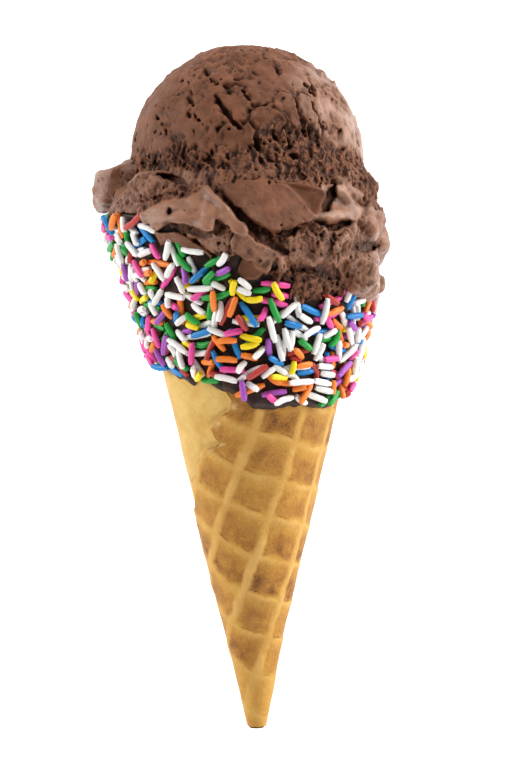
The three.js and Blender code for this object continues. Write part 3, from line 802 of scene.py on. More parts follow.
# Lobes pressed out over the rim at the sides and the back, much as the solid has them: azimuth, height and distance
# from the axis, half sizes along, across and outwards, fall to the right, lean, turn outwards, squareness, how torn.
LOBES = [
    (24, 169.8, 34.4, (7.5, 6.4, 6), -12, 0, 0, 2.3, 0.85),
    (20, 161.4, 34.6, (9, 5.6, 6.2), -22, 12, 0, 2.6, 0.3),
    (138, 170.6, 35.6, (9.5, 5.6, 7), 4, 0, 0, 2.3, 0.55),
    (176, 172.8, 38.6, (9, 6.6, 8.2), 0, 0, 0, 4.0, 0.15),
    (158, 163.9, 38.5, (7, 4.4, 5), 12, 14, 0, 2.3, 0.95),
    (205, 164.9, 36.2, (12, 6.6, 7), -16, 10, 8, 2.6, 0.15),
    (252, 154.4, 39.4, (10, 8.4, 6.8), 8, 4, 0, 2.6, 0.3),
    (268, 151.4, 38.4, (10, 8, 7), -6, 0, 0, 2.6, 0.3),
    (284, 152.4, 39.2, (10, 8.4, 6.8), -10, 4, 0, 2.6, 0.3),
    (305, 159.9, 36.5, (11, 6.4, 6.8), 20, 10, 6, 2.6, 0.2),
    (330, 149.4, 36.2, (9, 5.8, 5.8), -12, 4, 0, 2.3, 0.6),
    (352, 155.9, 34.2, (9.5, 6, 6), 24, 8, 0, 2.6, 0.15),
]

# Folds and plates on the front of the skirt. Each has a place where it stands out so far beyond the wall, and how
# much further it stands out to the right and up. Left of a limit its face falls away. Then come its thickness, the
# rounding of its edge, how torn it is, how wet, a line above which it frays, and its outline, right of the axis and
# up it.
# How wet a piece is also paints its colour lighter, partly as painted light and painted sheen.
FOLDS = [
    dict(stands=(-14, 155, 1.8), leans=(0.1, 0.0), thick=5, edge=0.8, torn=0.7, wet=0.6, outline=[
        (-24.3, 159.6), (-21.5, 160.1), (-16, 161), (-12, 161), (-8.7, 161), (-5.6, 160), (-3.3, 156.5),
        (-4.8, 152.8), (-4.5, 150.4), (-6.9, 149.2), (-9.3, 150.1), (-11.7, 151.7), (-14.8, 153.5), (-17.8, 155.4),
        (-22.1, 157.4)]),
    dict(stands=(-14, 160, 3.5), leans=(0.02, -0.1), thick=7, edge=0.4, torn=0.0, wet=0.85, frays=[
        (-32, 162.5), (-27, 165), (-24, 166.2), (-18.8, 166.5), (-16.3, 167.5), (-13.4, 168.6), (-12, 171)], outline=[
        (-12.2, 169.8), (-10.1, 167.3), (-7.1, 164), (-4.1, 160.7), (-1.7, 158.5), (-1.1, 157), (-1.5, 155.5),
        (-2.7, 155.2), (-4.2, 156.1), (-5.4, 157.6), (-6.2, 158.9), (-7.2, 158.9), (-8.2, 158.1), (-8.8, 158.3),
        (-8.2, 159.3), (-8.8, 160.4), (-9.9, 160.5), (-10.5, 159.8), (-10.3, 158), (-10.9, 156.8), (-12.2, 156.7),
        (-13.8, 157.5), (-16, 158.6), (-19, 159.5), (-22.1, 159.8), (-24, 159.2), (-25.6, 158.3), (-26.9, 158),
        (-27.8, 158.3), (-28.9, 159.9), (-30.4, 159.7), (-31.4, 161), (-31.8, 163.5), (-31, 165.9), (-28.4, 167.2),
        (-25.8, 168), (-23.3, 169.3), (-20.2, 170.4), (-17.1, 169.6), (-14.3, 169.8)]),
    dict(stands=(-20, 155, 2.0), leans=(0.0, -0.12), thick=3, edge=0.7, torn=0.0, wet=0.2, outline=[
        (-27.5, 157.7), (-25.6, 157.3), (-22.1, 157.4), (-19.4, 156.7), (-16, 154.5), (-13.3, 152.3),
        (-10.9, 150.2), (-11.5, 149.6), (-13, 151.4), (-15.1, 152), (-17.2, 152.1), (-19.4, 152.9), (-20.9, 154.2),
        (-22.8, 154.6), (-25.6, 153.8), (-26.6, 155.8)]),
    dict(stands=(0, 146, 0.9), leans=(0.0, -0.1), thick=3, edge=0.7, torn=0.0, wet=0.1, outline=[
        (-4.3, 145.7), (-3.7, 148.2), (-2.6, 150), (-0.2, 149.6), (1.9, 147.2), (3.3, 145.4), (1.2, 143.6),
        (-2, 143.4)]),
    dict(stands=(14, 152, 1.3), leans=(0.12, 0.0), thick=5, edge=1.2, torn=0.7, wet=0.5, outline=[
        (2.5, 155.5), (5.6, 157.5), (10.6, 159), (16.4, 161), (19.3, 158.8), (21.1, 156.4), (21.4, 152.4),
        (19.2, 148.7), (16.2, 146.8), (11.9, 146.7), (8.3, 146.2), (5.5, 145.5), (3.4, 146.1), (4, 151)]),
    dict(stands=(28, 152, 1.7), leans=(0.0, 0.0), thick=6, edge=1.4, torn=0.7, wet=0.4, outline=[
        (17.8, 160.5), (21.5, 158.2), (25.2, 158.5), (29.5, 160.5), (39.3, 163.4), (41, 154.6), (41, 148.5),
        (38.6, 140.9), (28.9, 139.1), (25.1, 143.3), (21.4, 146), (17.7, 146.9), (17.7, 152.2)]),
    dict(stands=(17, 142, 1.7), leans=(0.0, 0.02), thick=4, edge=0.8, torn=1.0, wet=0.0, outline=[
        (5.5, 145.5), (8.3, 147.2), (12.6, 148), (17.7, 148), (21.4, 147.5), (27, 147), (29, 143), (25.8, 140.2),
        (21.3, 139.8), (15.1, 137.5), (12.6, 138.1), (10.8, 138.4), (9.7, 141.3), (8.3, 143.4), (6.2, 143.7)]),
    dict(stands=(26, 165, 0.9), leans=(0.16, 0.05), thick=4, edge=1.5, torn=0.0, wet=0.9, outline=[
        (19.5, 171), (26, 171.5), (30, 169.5), (32, 165), (30, 161), (24, 160), (18.5, 160.8)]),
    dict(stands=(17, 166, 2.2), leans=(0.36, 0.15), thick=6, edge=0.25, torn=0.0, wet=0.0, outline=[
        (7.1, 170.9), (9.4, 171.1), (12.1, 171), (15, 170.6), (17.5, 170.1), (19.4, 169.5), (20.6, 168.6),
        (21.3, 167.4), (20.1, 165.3), (19.2, 163.1), (18, 161.9), (16.4, 161.1), (13.5, 165.3), (10.7, 168.7)]),
    dict(stands=(4, 164, 3.4), leans=(0.1, -0.05), falls=(-1, 0.05), thick=8, edge=0.3, torn=0.22, wet=0.05, frays=[
        (-12, 169), (-7, 170.5), (-2, 171.3), (3, 171.4), (5, 171.4), (9, 172)], outline=[
        (-11.9, 170.1), (-7.4, 171.3), (-4.6, 170.7), (-3.5, 171.6), (-1.6, 172.3), (0, 171.2), (2.5, 172.4),
        (5.3, 172.4), (6.7, 170.9), (8.9, 170.2), (11.4, 168.7), (13.5, 166.7), (15.3, 164.7), (16.7, 162.6),
        (17.2, 161.4), (16.7, 160.4), (16.2, 159.7), (14.2, 159.2), (12, 158.1), (10.2, 156.9), (8.8, 156.5),
        (7, 156.4), (4.9, 157), (3.1, 157.8), (1.3, 158.9), (-0.1, 159.7), (-1.8, 161), (-4.3, 162.7),
        (-7.1, 165.2), (-9.6, 167.7)]),
    dict(stands=(1, 151.5, 3.6), leans=(0.08, 0.03), thick=5, edge=0.5, torn=0.3, wet=0.55, outline=[
        (-5.4, 155.3), (-2.6, 156.7), (-0.5, 155.5), (1.6, 153.6), (4.8, 152.2), (7.2, 151.3), (6.9, 149.7),
        (5.8, 147.9), (4.1, 145.1), (2.3, 146.5), (-0.2, 148.2), (-2.6, 149.6), (-5.1, 151.1), (-6.2, 152.1)]),
]

# Round lumps on the front: place right of the axis and up it, how far the middle is beyond the wall, half sizes
# across, up and out, the azimuth that it faces if that isn't straight out, squareness, how torn and how wet.
LUMPS = [
    (14.0, 153.2, -0.2, (6.4, 6.0, 3.8), None, 3.0, 0.85, 0.3),
    (16.4, 157.4, 1.0, (4.0, 3.6, 2.8), None, 2.6, 0.3, 0.5),
    (25.3, 155.2, 0.6, (4.8, 4.8, 3.2), None, 2.5, 0.5, 0.6),
    (25.0, 149.4, 0.0, (4.6, 3.8, 3.2), None, 2.4, 0.7, 0.5),
    (33.3, 158.4, 1.0, (5.0, 3.0, 4.0), None, 2.6, 0.0, 0.95),
    (34.2, 151.4, -0.4, (4.8, 3.4, 4.0), None, 2.4, 0.1, 0.8),
    (33.6, 142.6, 0.4, (5.6, 4.4, 4.6), None, 2.4, 0.05, 0.7),
    (31.0, 144.5, 2.4, (5.2, 5.4, 6.6), 88, 5.0, 0.45, 0.9),
    (28.5, 172.6, 0.0, (4.2, 3.4, 3.0), None, 2.3, 0.9, 0.4),
    (33.0, 167.2, 0.4, (4.0, 5.0, 3.0), None, 2.3, 0.75, 0.5),
    (36.0, 163.4, 1.6, (3.4, 4.6, 3.2), None, 2.3, 0.7, 0.5),
    (30.3, 163.9, 1.2, (3.6, 2.0, 2.2), None, 2.3, 0.0, 0.9),
    (8.6, 149.3, 1.2, (1.7, 2.6, 2.2), None, 2.8, 0.2, 0.5),
]

# Rolled edges and lips on the front: right of the axis, up it, and how far each stands out beyond the wall.
ROLLS = [
    dict(radius=0.7, torn=0.0, wet=0.7, path=[
        (-13, 169.2, 3.4), (-11, 167.2, 4.0), (-8, 164, 4.2), (-5, 160.9, 4.4), (-3, 158.7, 4.5),
        (-2.3, 157.2, 4.4)]),
    dict(radius=0.8, torn=0.0, wet=0.7, path=[
        (-27.2, 159.2, 3.4), (-24, 160.4, 3.9), (-21.5, 161, 4.1), (-18.7, 160.6, 4.2), (-15.6, 159.6, 4.3),
        (-13.5, 158.6, 4.4), (-11.8, 158.2, 4.4), (-11.3, 159.4, 4.3), (-11, 160.6, 4.2), (-10, 161.6, 4.2),
        (-8.4, 161.7, 4.2), (-7, 160.6, 4.3), (-5.2, 159.1, 4.5), (-4, 157.4, 4.6)]),
    dict(radius=1.4, torn=0.6, wet=0.6, path=[
        (17, 160.3, 4.6), (19.2, 158.8, 4.6), (20.4, 156.5, 4.6), (20.4, 153.5, 4.4), (19.3, 150.5, 4.2),
        (17.5, 148.3, 3.8), (15, 147.2, 3.2)]),
    dict(radius=2.3, torn=0.0, wet=0.95, path=[
        (17.8, 162, 2.0), (20.8, 161.8, 2.6), (23.7, 161.8, 2.8), (26.8, 162.4, 2.8), (29.5, 163.1, 2.5)]),
    dict(radius=1.2, torn=0.0, wet=0.9, path=[
        (23.8, 169.8, 2.6), (25.7, 169.5, 2.8), (27.2, 167.5, 2.8), (28.7, 164.8, 2.8), (29.7, 162.7, 2.6)]),
    dict(radius=1.3, torn=0.2, wet=0.8, path=[
        (25, 172.7, 2.2), (27.2, 170.8, 3.0), (29.6, 169.3, 3.2), (31.6, 167.2, 3.2), (32.6, 164.2, 3.0)]),
    dict(radius=1.2, torn=0.5, wet=0.6, path=[
        (23.7, 152.6, 3.8), (25.2, 154.9, 4.3), (27.1, 156.9, 4.3), (28.7, 158.9, 3.6)]),
    dict(radius=2.2, torn=0.0, wet=0.9, path=[
        (36.8, 141.5, 2.0), (37.6, 145, 2.4), (38, 149, 2.6), (38.2, 153, 2.6), (37.6, 157, 2.6)]),
    dict(radius=1.2, torn=0.1, wet=0.6, path=[
        (38.4, 145, 4.4), (39.2, 144, 4.6), (38.2, 142.6, 4.2)]),
]

# Deep creases on the front: half width, the level beyond the wall that it reaches down to, and its path.
CREASES = [
    (0.4, -1.0, [(-11.8, 171), (-9.4, 168.5), (-6.4, 165.2), (-3.6, 162.5)]),
    (1.2, -0.5, [(-5, 163.4), (-2.6, 161), (-0.4, 158.8), (1.0, 156.6)]),
    (1.0, 0.4, [(0.2, 157), (2.9, 155), (5.5, 153.6), (8, 152), (10.1, 150.6)]),
    (1.2, -1.5, [(23.8, 170.8), (22.4, 167.8), (21.4, 165), (20.1, 162.8)]),
    (0.8, -0.5, [(18, 159.9), (19.3, 159.3), (21.5, 158.8), (23.7, 158.8), (26.4, 159.8), (28.7, 160.6)]),
    (1.2, 0.6, [(29.6, 153.0), (33.1, 153.9), (37, 155.0)]),
    (1.0, 2.2, [(11.0, 150.6), (13.0, 150.2), (15.0, 151.2), (16.6, 151.4)]),
    (0.45, 1.8, [(21.6, 159.6), (22.4, 156), (22.2, 152.6), (21, 149)]),
    (2.0, 1.2, [(17.4, 145.8), (20, 146), (22.4, 145.6), (24.4, 144.6)]),
    (0.9, 0.8, [(12.4, 146.2), (15.5, 146.2), (18, 146.2)]),
    (0.9, 1.0, [(-9.4, 159.2), (-8.7, 158.4), (-7.4, 157.9)]),
    (0.7, 1.0, [(-24.6, 158.6), (-22.8, 158.6), (-19.3, 158.1), (-16, 157), (-12.9, 155.4)]),
    (0.45, 1.0, [(-22.9, 163.7), (-22.9, 162)]),
    (0.9, -1.5, [(-26.4, 174), (-23.9, 173.5), (-20.8, 172.2), (-18.3, 170.7)]),
    (0.8, 0.4, [(7.5, 156.2), (10.5, 156.4), (13, 157.6)]),
]

# Raised edges that the scoop left on the dome: points right of the axis and up it as seen from the front. The
# plate that each one bounds lies to the right of the walk along it. The last value is its height.
PLATE_EDGES = [
    ([(-6.2, 202.5), (-5.2, 204.6), (-3, 206), (0, 205.6), (3, 207.3), (6, 206.9), (7.4, 204.8), (8, 202.6)], 0.6),
    ([(8.8, 206.3), (12, 207.6), (14.6, 206.6), (16.4, 204), (17, 200.5), (16.6, 197.2)], 0.7),
    ([(-1, 211.8), (1.5, 210.6), (3.2, 209), (3.9, 207.6)], 0.5),
    ([(0.2, 188.5), (0.4, 191), (1.4, 192.3), (4.5, 192.4), (6.3, 193.8), (7, 195.5)], 0.8),
    ([(6.6, 195.2), (8.2, 196.6), (11, 196.5), (12.4, 195), (12.8, 191.8), (14.2, 188.5), (14.8, 185.5)], 0.8),
    ([(4.8, 192.2), (7.5, 191.4), (9.3, 189.8), (10.2, 187), (11, 183.5)], 0.6),
    ([(12.9, 195.6), (14.5, 196.9), (16.6, 196.4), (17.4, 193), (18.8, 190.5), (19.4, 186.5)], 0.7),
    ([(-9.4, 184.5), (-8.6, 186.8), (-6, 187.6), (-4.2, 187.2), (-3, 186.2)], 0.5),
    ([(-2.6, 186.6), (-0.6, 188.4), (0.6, 186.3), (1.2, 184.3), (0.6, 182)], 0.7),
    ([(-16.5, 199), (-14.5, 201.2), (-11, 200.8), (-9, 199.6)], 0.35),
    ([(-26.5, 193.5), (-24.5, 197), (-20, 199.5), (-17.5, 199.8)], 0.35),
    ([(-9.4, 196.3), (-7, 196.2), (-4, 197.4), (-1, 196.6), (0.3, 194.8)], 0.4),
]

# Slits and holes in the dome, seen in the same way: points, width and depth.
SLITS = [
    ([(-13.6, 206), (-12.4, 203.4), (-10.8, 200.8)], 1.0, 1.6),
    ([(-18.4, 202.2), (-17.9, 200), (-17.3, 198)], 0.7, 1.2),
    ([(-18.2, 196.3), (-16.8, 194.6)], 0.8, 1.2),
    ([(-20.4, 204.2), (-20.3, 202.4)], 0.7, 1.0),
    ([(-28, 192.6), (-27.4, 191.2)], 0.7, 1.0),
    ([(-26.6, 190.2), (-25.9, 189.3)], 0.7, 1.0),
    ([(-25.3, 188.3), (-24.9, 186)], 0.6, 0.9),
    ([(-18.4, 191.6), (-17.8, 190.8)], 0.7, 0.9),
    ([(-16.3, 191.2), (-15.8, 190.4)], 0.6, 0.8),
    ([(-9.6, 196.4), (-8.6, 194), (-7.2, 191.4), (-5.2, 188.8), (-3.4, 186.6)], 1.1, 2.0),
    ([(-10.2, 194.8), (-8.4, 193.8)], 0.8, 1.2),
    ([(-6.4, 191.4), (-5.4, 189.9)], 0.7, 1.0),
    ([(7.3, 205.2), (8, 203.2)], 1.1, 1.6),
    ([(13.3, 194.6), (13.3, 192.4)], 0.9, 1.6),
    ([(17.6, 200.4), (18.4, 198.6)], 1.2, 1.6),
    ([(-2.4, 197), (-1, 195.9), (0, 194.9)], 1.0, 1.5),
    ([(-1.6, 198.6), (-0.4, 198.2)], 0.8, 1.0),
    ([(-7.4, 199.6), (-5.8, 199.2)], 1.2, 1.2),
    ([(-6.4, 198), (-5.4, 197.4)], 0.9, 1.2),
    ([(-4.8, 201.6), (-3.2, 201.4)], 0.9, 0.9),
    ([(-4, 200), (-2.6, 199.4)], 0.9, 1.0),
    ([(4, 208.2), (5, 207.6)], 0.9, 1.2),
    ([(1.4, 183.4), (1.8, 181.4)], 2.2, 2.4),
    ([(13, 178), (13.8, 175.6)], 2.6, 2.6),
    ([(-29, 178.4), (-28.6, 177.6)], 1.8, 1.6),
    ([(-12.6, 177.6), (-12.2, 177.2)], 1.4, 1.4),
    ([(-9, 175.4), (-8.4, 175.2)], 1.6, 1.6),
    ([(-10.8, 186.4), (-9.9, 186.8)], 1.1, 1.2),
    ([(-26.3, 173.6), (-24.6, 173), (-22, 172.7), (-19.5, 171.8), (-17.4, 170.9)], 1.6, 2.6),
    ([(15.2, 189.8), (15.6, 185)], 0.8, 1.2),
    ([(17, 189.6), (17.4, 184.2)], 0.8, 1.2),
    ([(21, 188.6), (21.2, 185)], 0.8, 1.0),
    ([(22, 189.4), (22.3, 187.6)], 0.7, 1.0),
    ([(24.6, 189), (24.7, 187)], 0.6, 0.8),
    ([(19.2, 186.6), (19.4, 183)], 0.8, 1.2),
    ([(6.4, 185.6), (6.9, 183.9)], 1.2, 1.4),
    ([(9.8, 186.5), (11.2, 181.4)], 0.8, 1.2),
]


# Places on the dome that the scoop roughened: right of the axis and up it, size, and how torn. Below a line round it
# the whole dome is torn: azimuths, and the line's height at each.
ROUGH_SPOTS = [
    (-1.5, 202.5, 4.5, 0.75),
    (-4.5, 198.5, 3.5, 0.7),
    (-18, 198, 6.0, 0.5),
    (-24, 189, 5.0, 0.55),
    (-12, 184.5, 5.0, 0.6),
    (18, 201.5, 4.0, 0.5),
    (-8, 191, 3.5, 0.45),
]
TORN_AZIMUTHS = [0, 25, 45, 60, 88, 92, 110, 125, 160, 200, 260, 320, 360]
TORN_HEIGHTS = [181, 182, 184, 189, 188, 181, 183, 185, 181, 186, 188, 184, 181]

# The way that the scoop's lip dragged the dome smooth, and how many edges and slits its sides and back have.
DRAGGED = np.array([0.86, 0.32, 0.4])
RANDOM_EDGES = 30
RANDOM_SLITS = 34


def smooth_union(a, b, width):
    share = np.clip(0.5 + 0.5 * (b - a) / width, 0, 1)
    return mix(b, a, share) - width * share * (1 - share)


def smooth_both(a, b, width):
    """What a and b have in common."""
    return -smooth_union(-a, -b, width)


def smooth_cut(a, b, width):
    """What is left of a once b is taken out of it."""
    return -smooth_union(-a, b, width)


def outline_distance(x, y, outline):
    """Signed distance to a closed outline: negative inside it."""
    nearest = np.full(len(x), 1e9)
    inside = np.zeros(len(x), bool)
    for (ax, ay), (bx, by) in zip(outline, outline[1:] + outline[:1]):
        ex, ey = bx - ax, by - ay
        share = np.clip(((x - ax) * ex + (y - ay) * ey) / (ex * ex + ey * ey), 0, 1)
        nearest = np.minimum(nearest, (x - ax - share * ex) ** 2 + (y - ay - share * ey) ** 2)
        crosses = (ay > y) != (by > y)
        inside ^= crosses & (x < ax + (y - ay) * ex / (ey if ey else 1e-9))
    return np.where(inside, -1, 1) * np.sqrt(nearest)


def path_distance(points, path):
    """Distance to a path of points, the share of the way along it, and the index of the nearest stretch."""
    nearest = np.full(len(points), 1e9)
    share_at = np.zeros(len(points))
    stretch = np.zeros(len(points), int)
    for index in range(len(path) - 1):
        a, b = path[index], path[index + 1]
        along = b - a
        share = np.clip((points - a) @ along / (along @ along), 0, 1)
        away = np.linalg.norm(points - a - share[:, None] * along, axis=1)
        closer = away < nearest
        nearest = np.where(closer, away, nearest)
        share_at = np.where(closer, (index + share) / (len(path) - 1), share_at)
        stretch = np.where(closer, index, stretch)
    return nearest, share_at, stretch


def near_path(points, path, reach):
    """Which points can be within reach of a path."""
    centre = path.mean(0)
    reach = np.linalg.norm(path - centre, axis=1).max() + reach
    return np.flatnonzero(((points - centre) ** 2).sum(1) < reach**2)


def skirt_bed(azimuth, height):
    """The radius that the skirt lies on: the dipped wall up to the rim, and from there in to the scoop."""
    rim = rim_height(azimuth)
    at_rim = dip_radius(azimuth, rim)
    below = dip_radius(azimuth, np.minimum(height, rim))
    climb = np.clip((height - rim) / (SKIRT_TOP - rim), 0, 1)
    return np.where(height < rim, below, mix(at_rim, SCOOP_RADIUS - 1.5, climb**1.5))


def on_skirt(x, y, beyond):
    """The azimuth and distance from the axis of a place on the front of the skirt."""
    azimuth = 90.0
    for _ in range(4):
        reach = float(skirt_bed(azimuth, y)) + beyond
        azimuth = math.acos(max(-0.985, min(0.985, x / reach))) / RAD
    return azimuth, reach


def on_dome(places):
    """Points of the dome's surface that are seen from the front at these places."""
    places = np.array(places, float)
    off = places - SCOOP_CENTRE[:2]
    depth = np.sqrt(np.maximum(0.5, SCOOP_RADIUS**2 - (off**2).sum(1)))
    return np.column_stack([places, depth])


def random_marks():
    """Edges and slits like those on the front, for the sides and the back of the dome."""
    rng = np.random.default_rng(5)
    edges, slits = [], []
    while len(edges) < RANDOM_EDGES or len(slits) < RANDOM_SLITS:
        azimuth = rng.uniform(0, 360)
        climb = rng.uniform(4, 75)
        centre = from_axis(azimuth, math.cos(climb * RAD), math.sin(climb * RAD))
        if centre[2] > 0.35:
            continue
        right = np.cross([0.0, 1.0, 0.0], centre)
        right /= np.linalg.norm(right)
        up = np.cross(centre, right)

        def mark(offsets):
            flat = centre * SCOOP_RADIUS + np.outer(offsets[:, 0], right) + np.outer(offsets[:, 1], up)
            return SCOOP_CENTRE + SCOOP_RADIUS * flat / np.linalg.norm(flat, axis=1)[:, None]

        if len(edges) < RANDOM_EDGES:
            width, height = rng.uniform(3, 6), rng.uniform(2, 5)
            around = np.linspace(math.pi * rng.uniform(0.75, 1.1), -math.pi * rng.uniform(0.0, 0.25), 8)
            ragged = rng.uniform(0.85, 1.2, 8)
            arc = np.column_stack([width * np.cos(around) * ragged, height * np.sin(around) * ragged])
            edges.append((mark(arc), rng.uniform(0.15, 0.4)))
        else:
            length, slant = rng.uniform(0.8, 3.5), rng.uniform(-0.9, 0.9)
            steps = np.linspace(-0.5, 0.5, 3)
            line = np.column_stack([steps * length * math.sin(slant), -steps * length * math.cos(slant)])
            line[1] += rng.uniform(-0.3, 0.3, 2)
            slits.append((mark(line), rng.uniform(0.6, 1.2), rng.uniform(0.9, 1.8)))
    return edges, slits


def dome_torn(points):
    """How torn the dome is: all of it below a ragged line round it, and faintly in patches above."""
    azimuth = np.arctan2(points[:, 2], points[:, 0]) / RAD
    line = np.interp(azimuth % 360, TORN_AZIMUTHS, TORN_HEIGHTS)
    line = line + 2.2 * uneven(points, 6.0, 21) + uneven(points, 2.5, 23)
    patch = 0.18 + 0.4 * smoothstep(0.25, 0.8, uneven(points, 8.0, 22))
    for right, up, size, amount in ROUGH_SPOTS:
        spot = on_dome([(right, up)])[0]
        away = np.linalg.norm(points - spot, axis=1) / size + 0.35 * uneven(points, 2.5, 24)
        patch = np.maximum(patch, amount * (1 - smoothstep(0.5, 1.1, away)))
    return np.maximum(1 - smoothstep(line - 1.2, line + 1.8, points[:, 1]), patch)


def dome_relief(points, marks):
    """How far the dome's surface stands out of the ball, from its plates, slits and holes. It also says how torn
    the marks leave it, and how deep they are."""
    edges, slits = marks
    out = points - SCOOP_CENTRE
    out = out / np.linalg.norm(out, axis=1)[:, None]
    points = SCOOP_CENTRE + SCOOP_RADIUS * out
    ragged = 0.5 * uneven(points, 1.6, 33) + 0.3 * uneven(points, 0.8, 34)
    plates, groove, beside, cut = np.zeros((4, len(points)))
    for path, height in edges:
        near = near_path(points, path, 7)
        if not len(near):
            continue
        place = points[near]
        away, share, stretch = path_distance(place, path)
        ends = (path[1:] - path[:-1])[stretch]
        side = np.einsum("ij,ij->i", np.cross(ends, place - path[:-1][stretch]), out[near])
        signed = np.where(side < 0, 1, -1) * away + 0.5 * ragged[near]
        taper = smoothstep(0, 0.12, share) * (1 - smoothstep(0.88, 1, share)) * height
        plate = np.exp(-np.maximum(signed, 0) / 3.5) * smoothstep(-0.12, 0.12, signed)
        lip = 0.3 * np.exp(-(((signed - 0.35) / 0.3) ** 2))
        plates[near] = np.maximum(plates[near], taper * 1.25 * (plate + lip))
        groove[near] = np.maximum(groove[near], taper * np.exp(-(((signed + 0.4) / 0.4) ** 2)))
        outside = smoothstep(-3.5, -0.8, signed) * (1 - smoothstep(-0.3, 0.1, signed))
        beside[near] = np.maximum(beside[near], 0.75 * outside * np.minimum(1, 1.6 * taper))
    for path, width, depth in slits:
        near = near_path(points, path, width + 1.5)
        if not len(near):
            continue
        away = path_distance(points[near], path)[0] + 0.7 * ragged[near]
        wide = width * (1 + 0.8 * uneven(points[near], 2.0, 37))
        cut[near] = np.maximum(cut[near], 1.3 * depth * (1 - smoothstep(0.15 * wide, 0.7 * wide, away)))
    swell = 0.45 * uneven(points, 14.0, 31) + 0.2 * uneven(points, 6.0, 32) + 0.1 * uneven(points, 2.6, 35)
    # The scoop's lip dragged streaks down the right of it.
    streaks = smoothstep(0.45, 0.85, out @ DRAGGED)
    swell += 0.3 * streaks * uneven(points * (1, 0.16, 1), 2.2, 36)
    # Its top is a little flat.
    swell -= 1.1 * smoothstep(0.92, 1.0, out[:, 1])
    return swell - 0.65 + plates - groove - cut, beside, groove + cut


def lobe_distance(points, lobe, disc=False):
    """About how far points are from a lobe. A disc is round as seen from outside, however square it is else."""
    azimuth, height, reach, sizes, falls, leans, yaws, square, _ = lobe
    out = np.array([math.cos(azimuth * RAD), 0, math.sin(azimuth * RAD)])
    up = np.array([0.0, 1.0, 0.0])
    right = np.cross(up, out)
    axes = {"long": Vector(right), "across": Vector(up), "out": Vector(out)}
    fall = Matrix.Rotation(-falls * RAD, 3, Vector(out))
    axes["long"], axes["across"] = fall @ axes["long"], fall @ axes["across"]
    lean = Matrix.Rotation(-leans * RAD, 3, axes["long"])
    axes["across"], axes["out"] = lean @ axes["across"], lean @ axes["out"]
    yaw = Matrix.Rotation(-yaws * RAD, 3, axes["across"])
    axes["long"], axes["out"] = yaw @ axes["long"], yaw @ axes["out"]
    place = points - (out * reach + up * height)
    parts = [np.abs(place @ np.array(axes[key]) / size) for key, size in zip(axes, sizes)]
    outline = 2 if disc else square
    size = (parts[0] ** outline + parts[1] ** outline) ** (1 / outline)
    size = (size**square + parts[2] ** square) ** (1 / square)
    length = np.linalg.norm(place, axis=1)
    return length * (1 - 1 / np.maximum(size, 0.05))


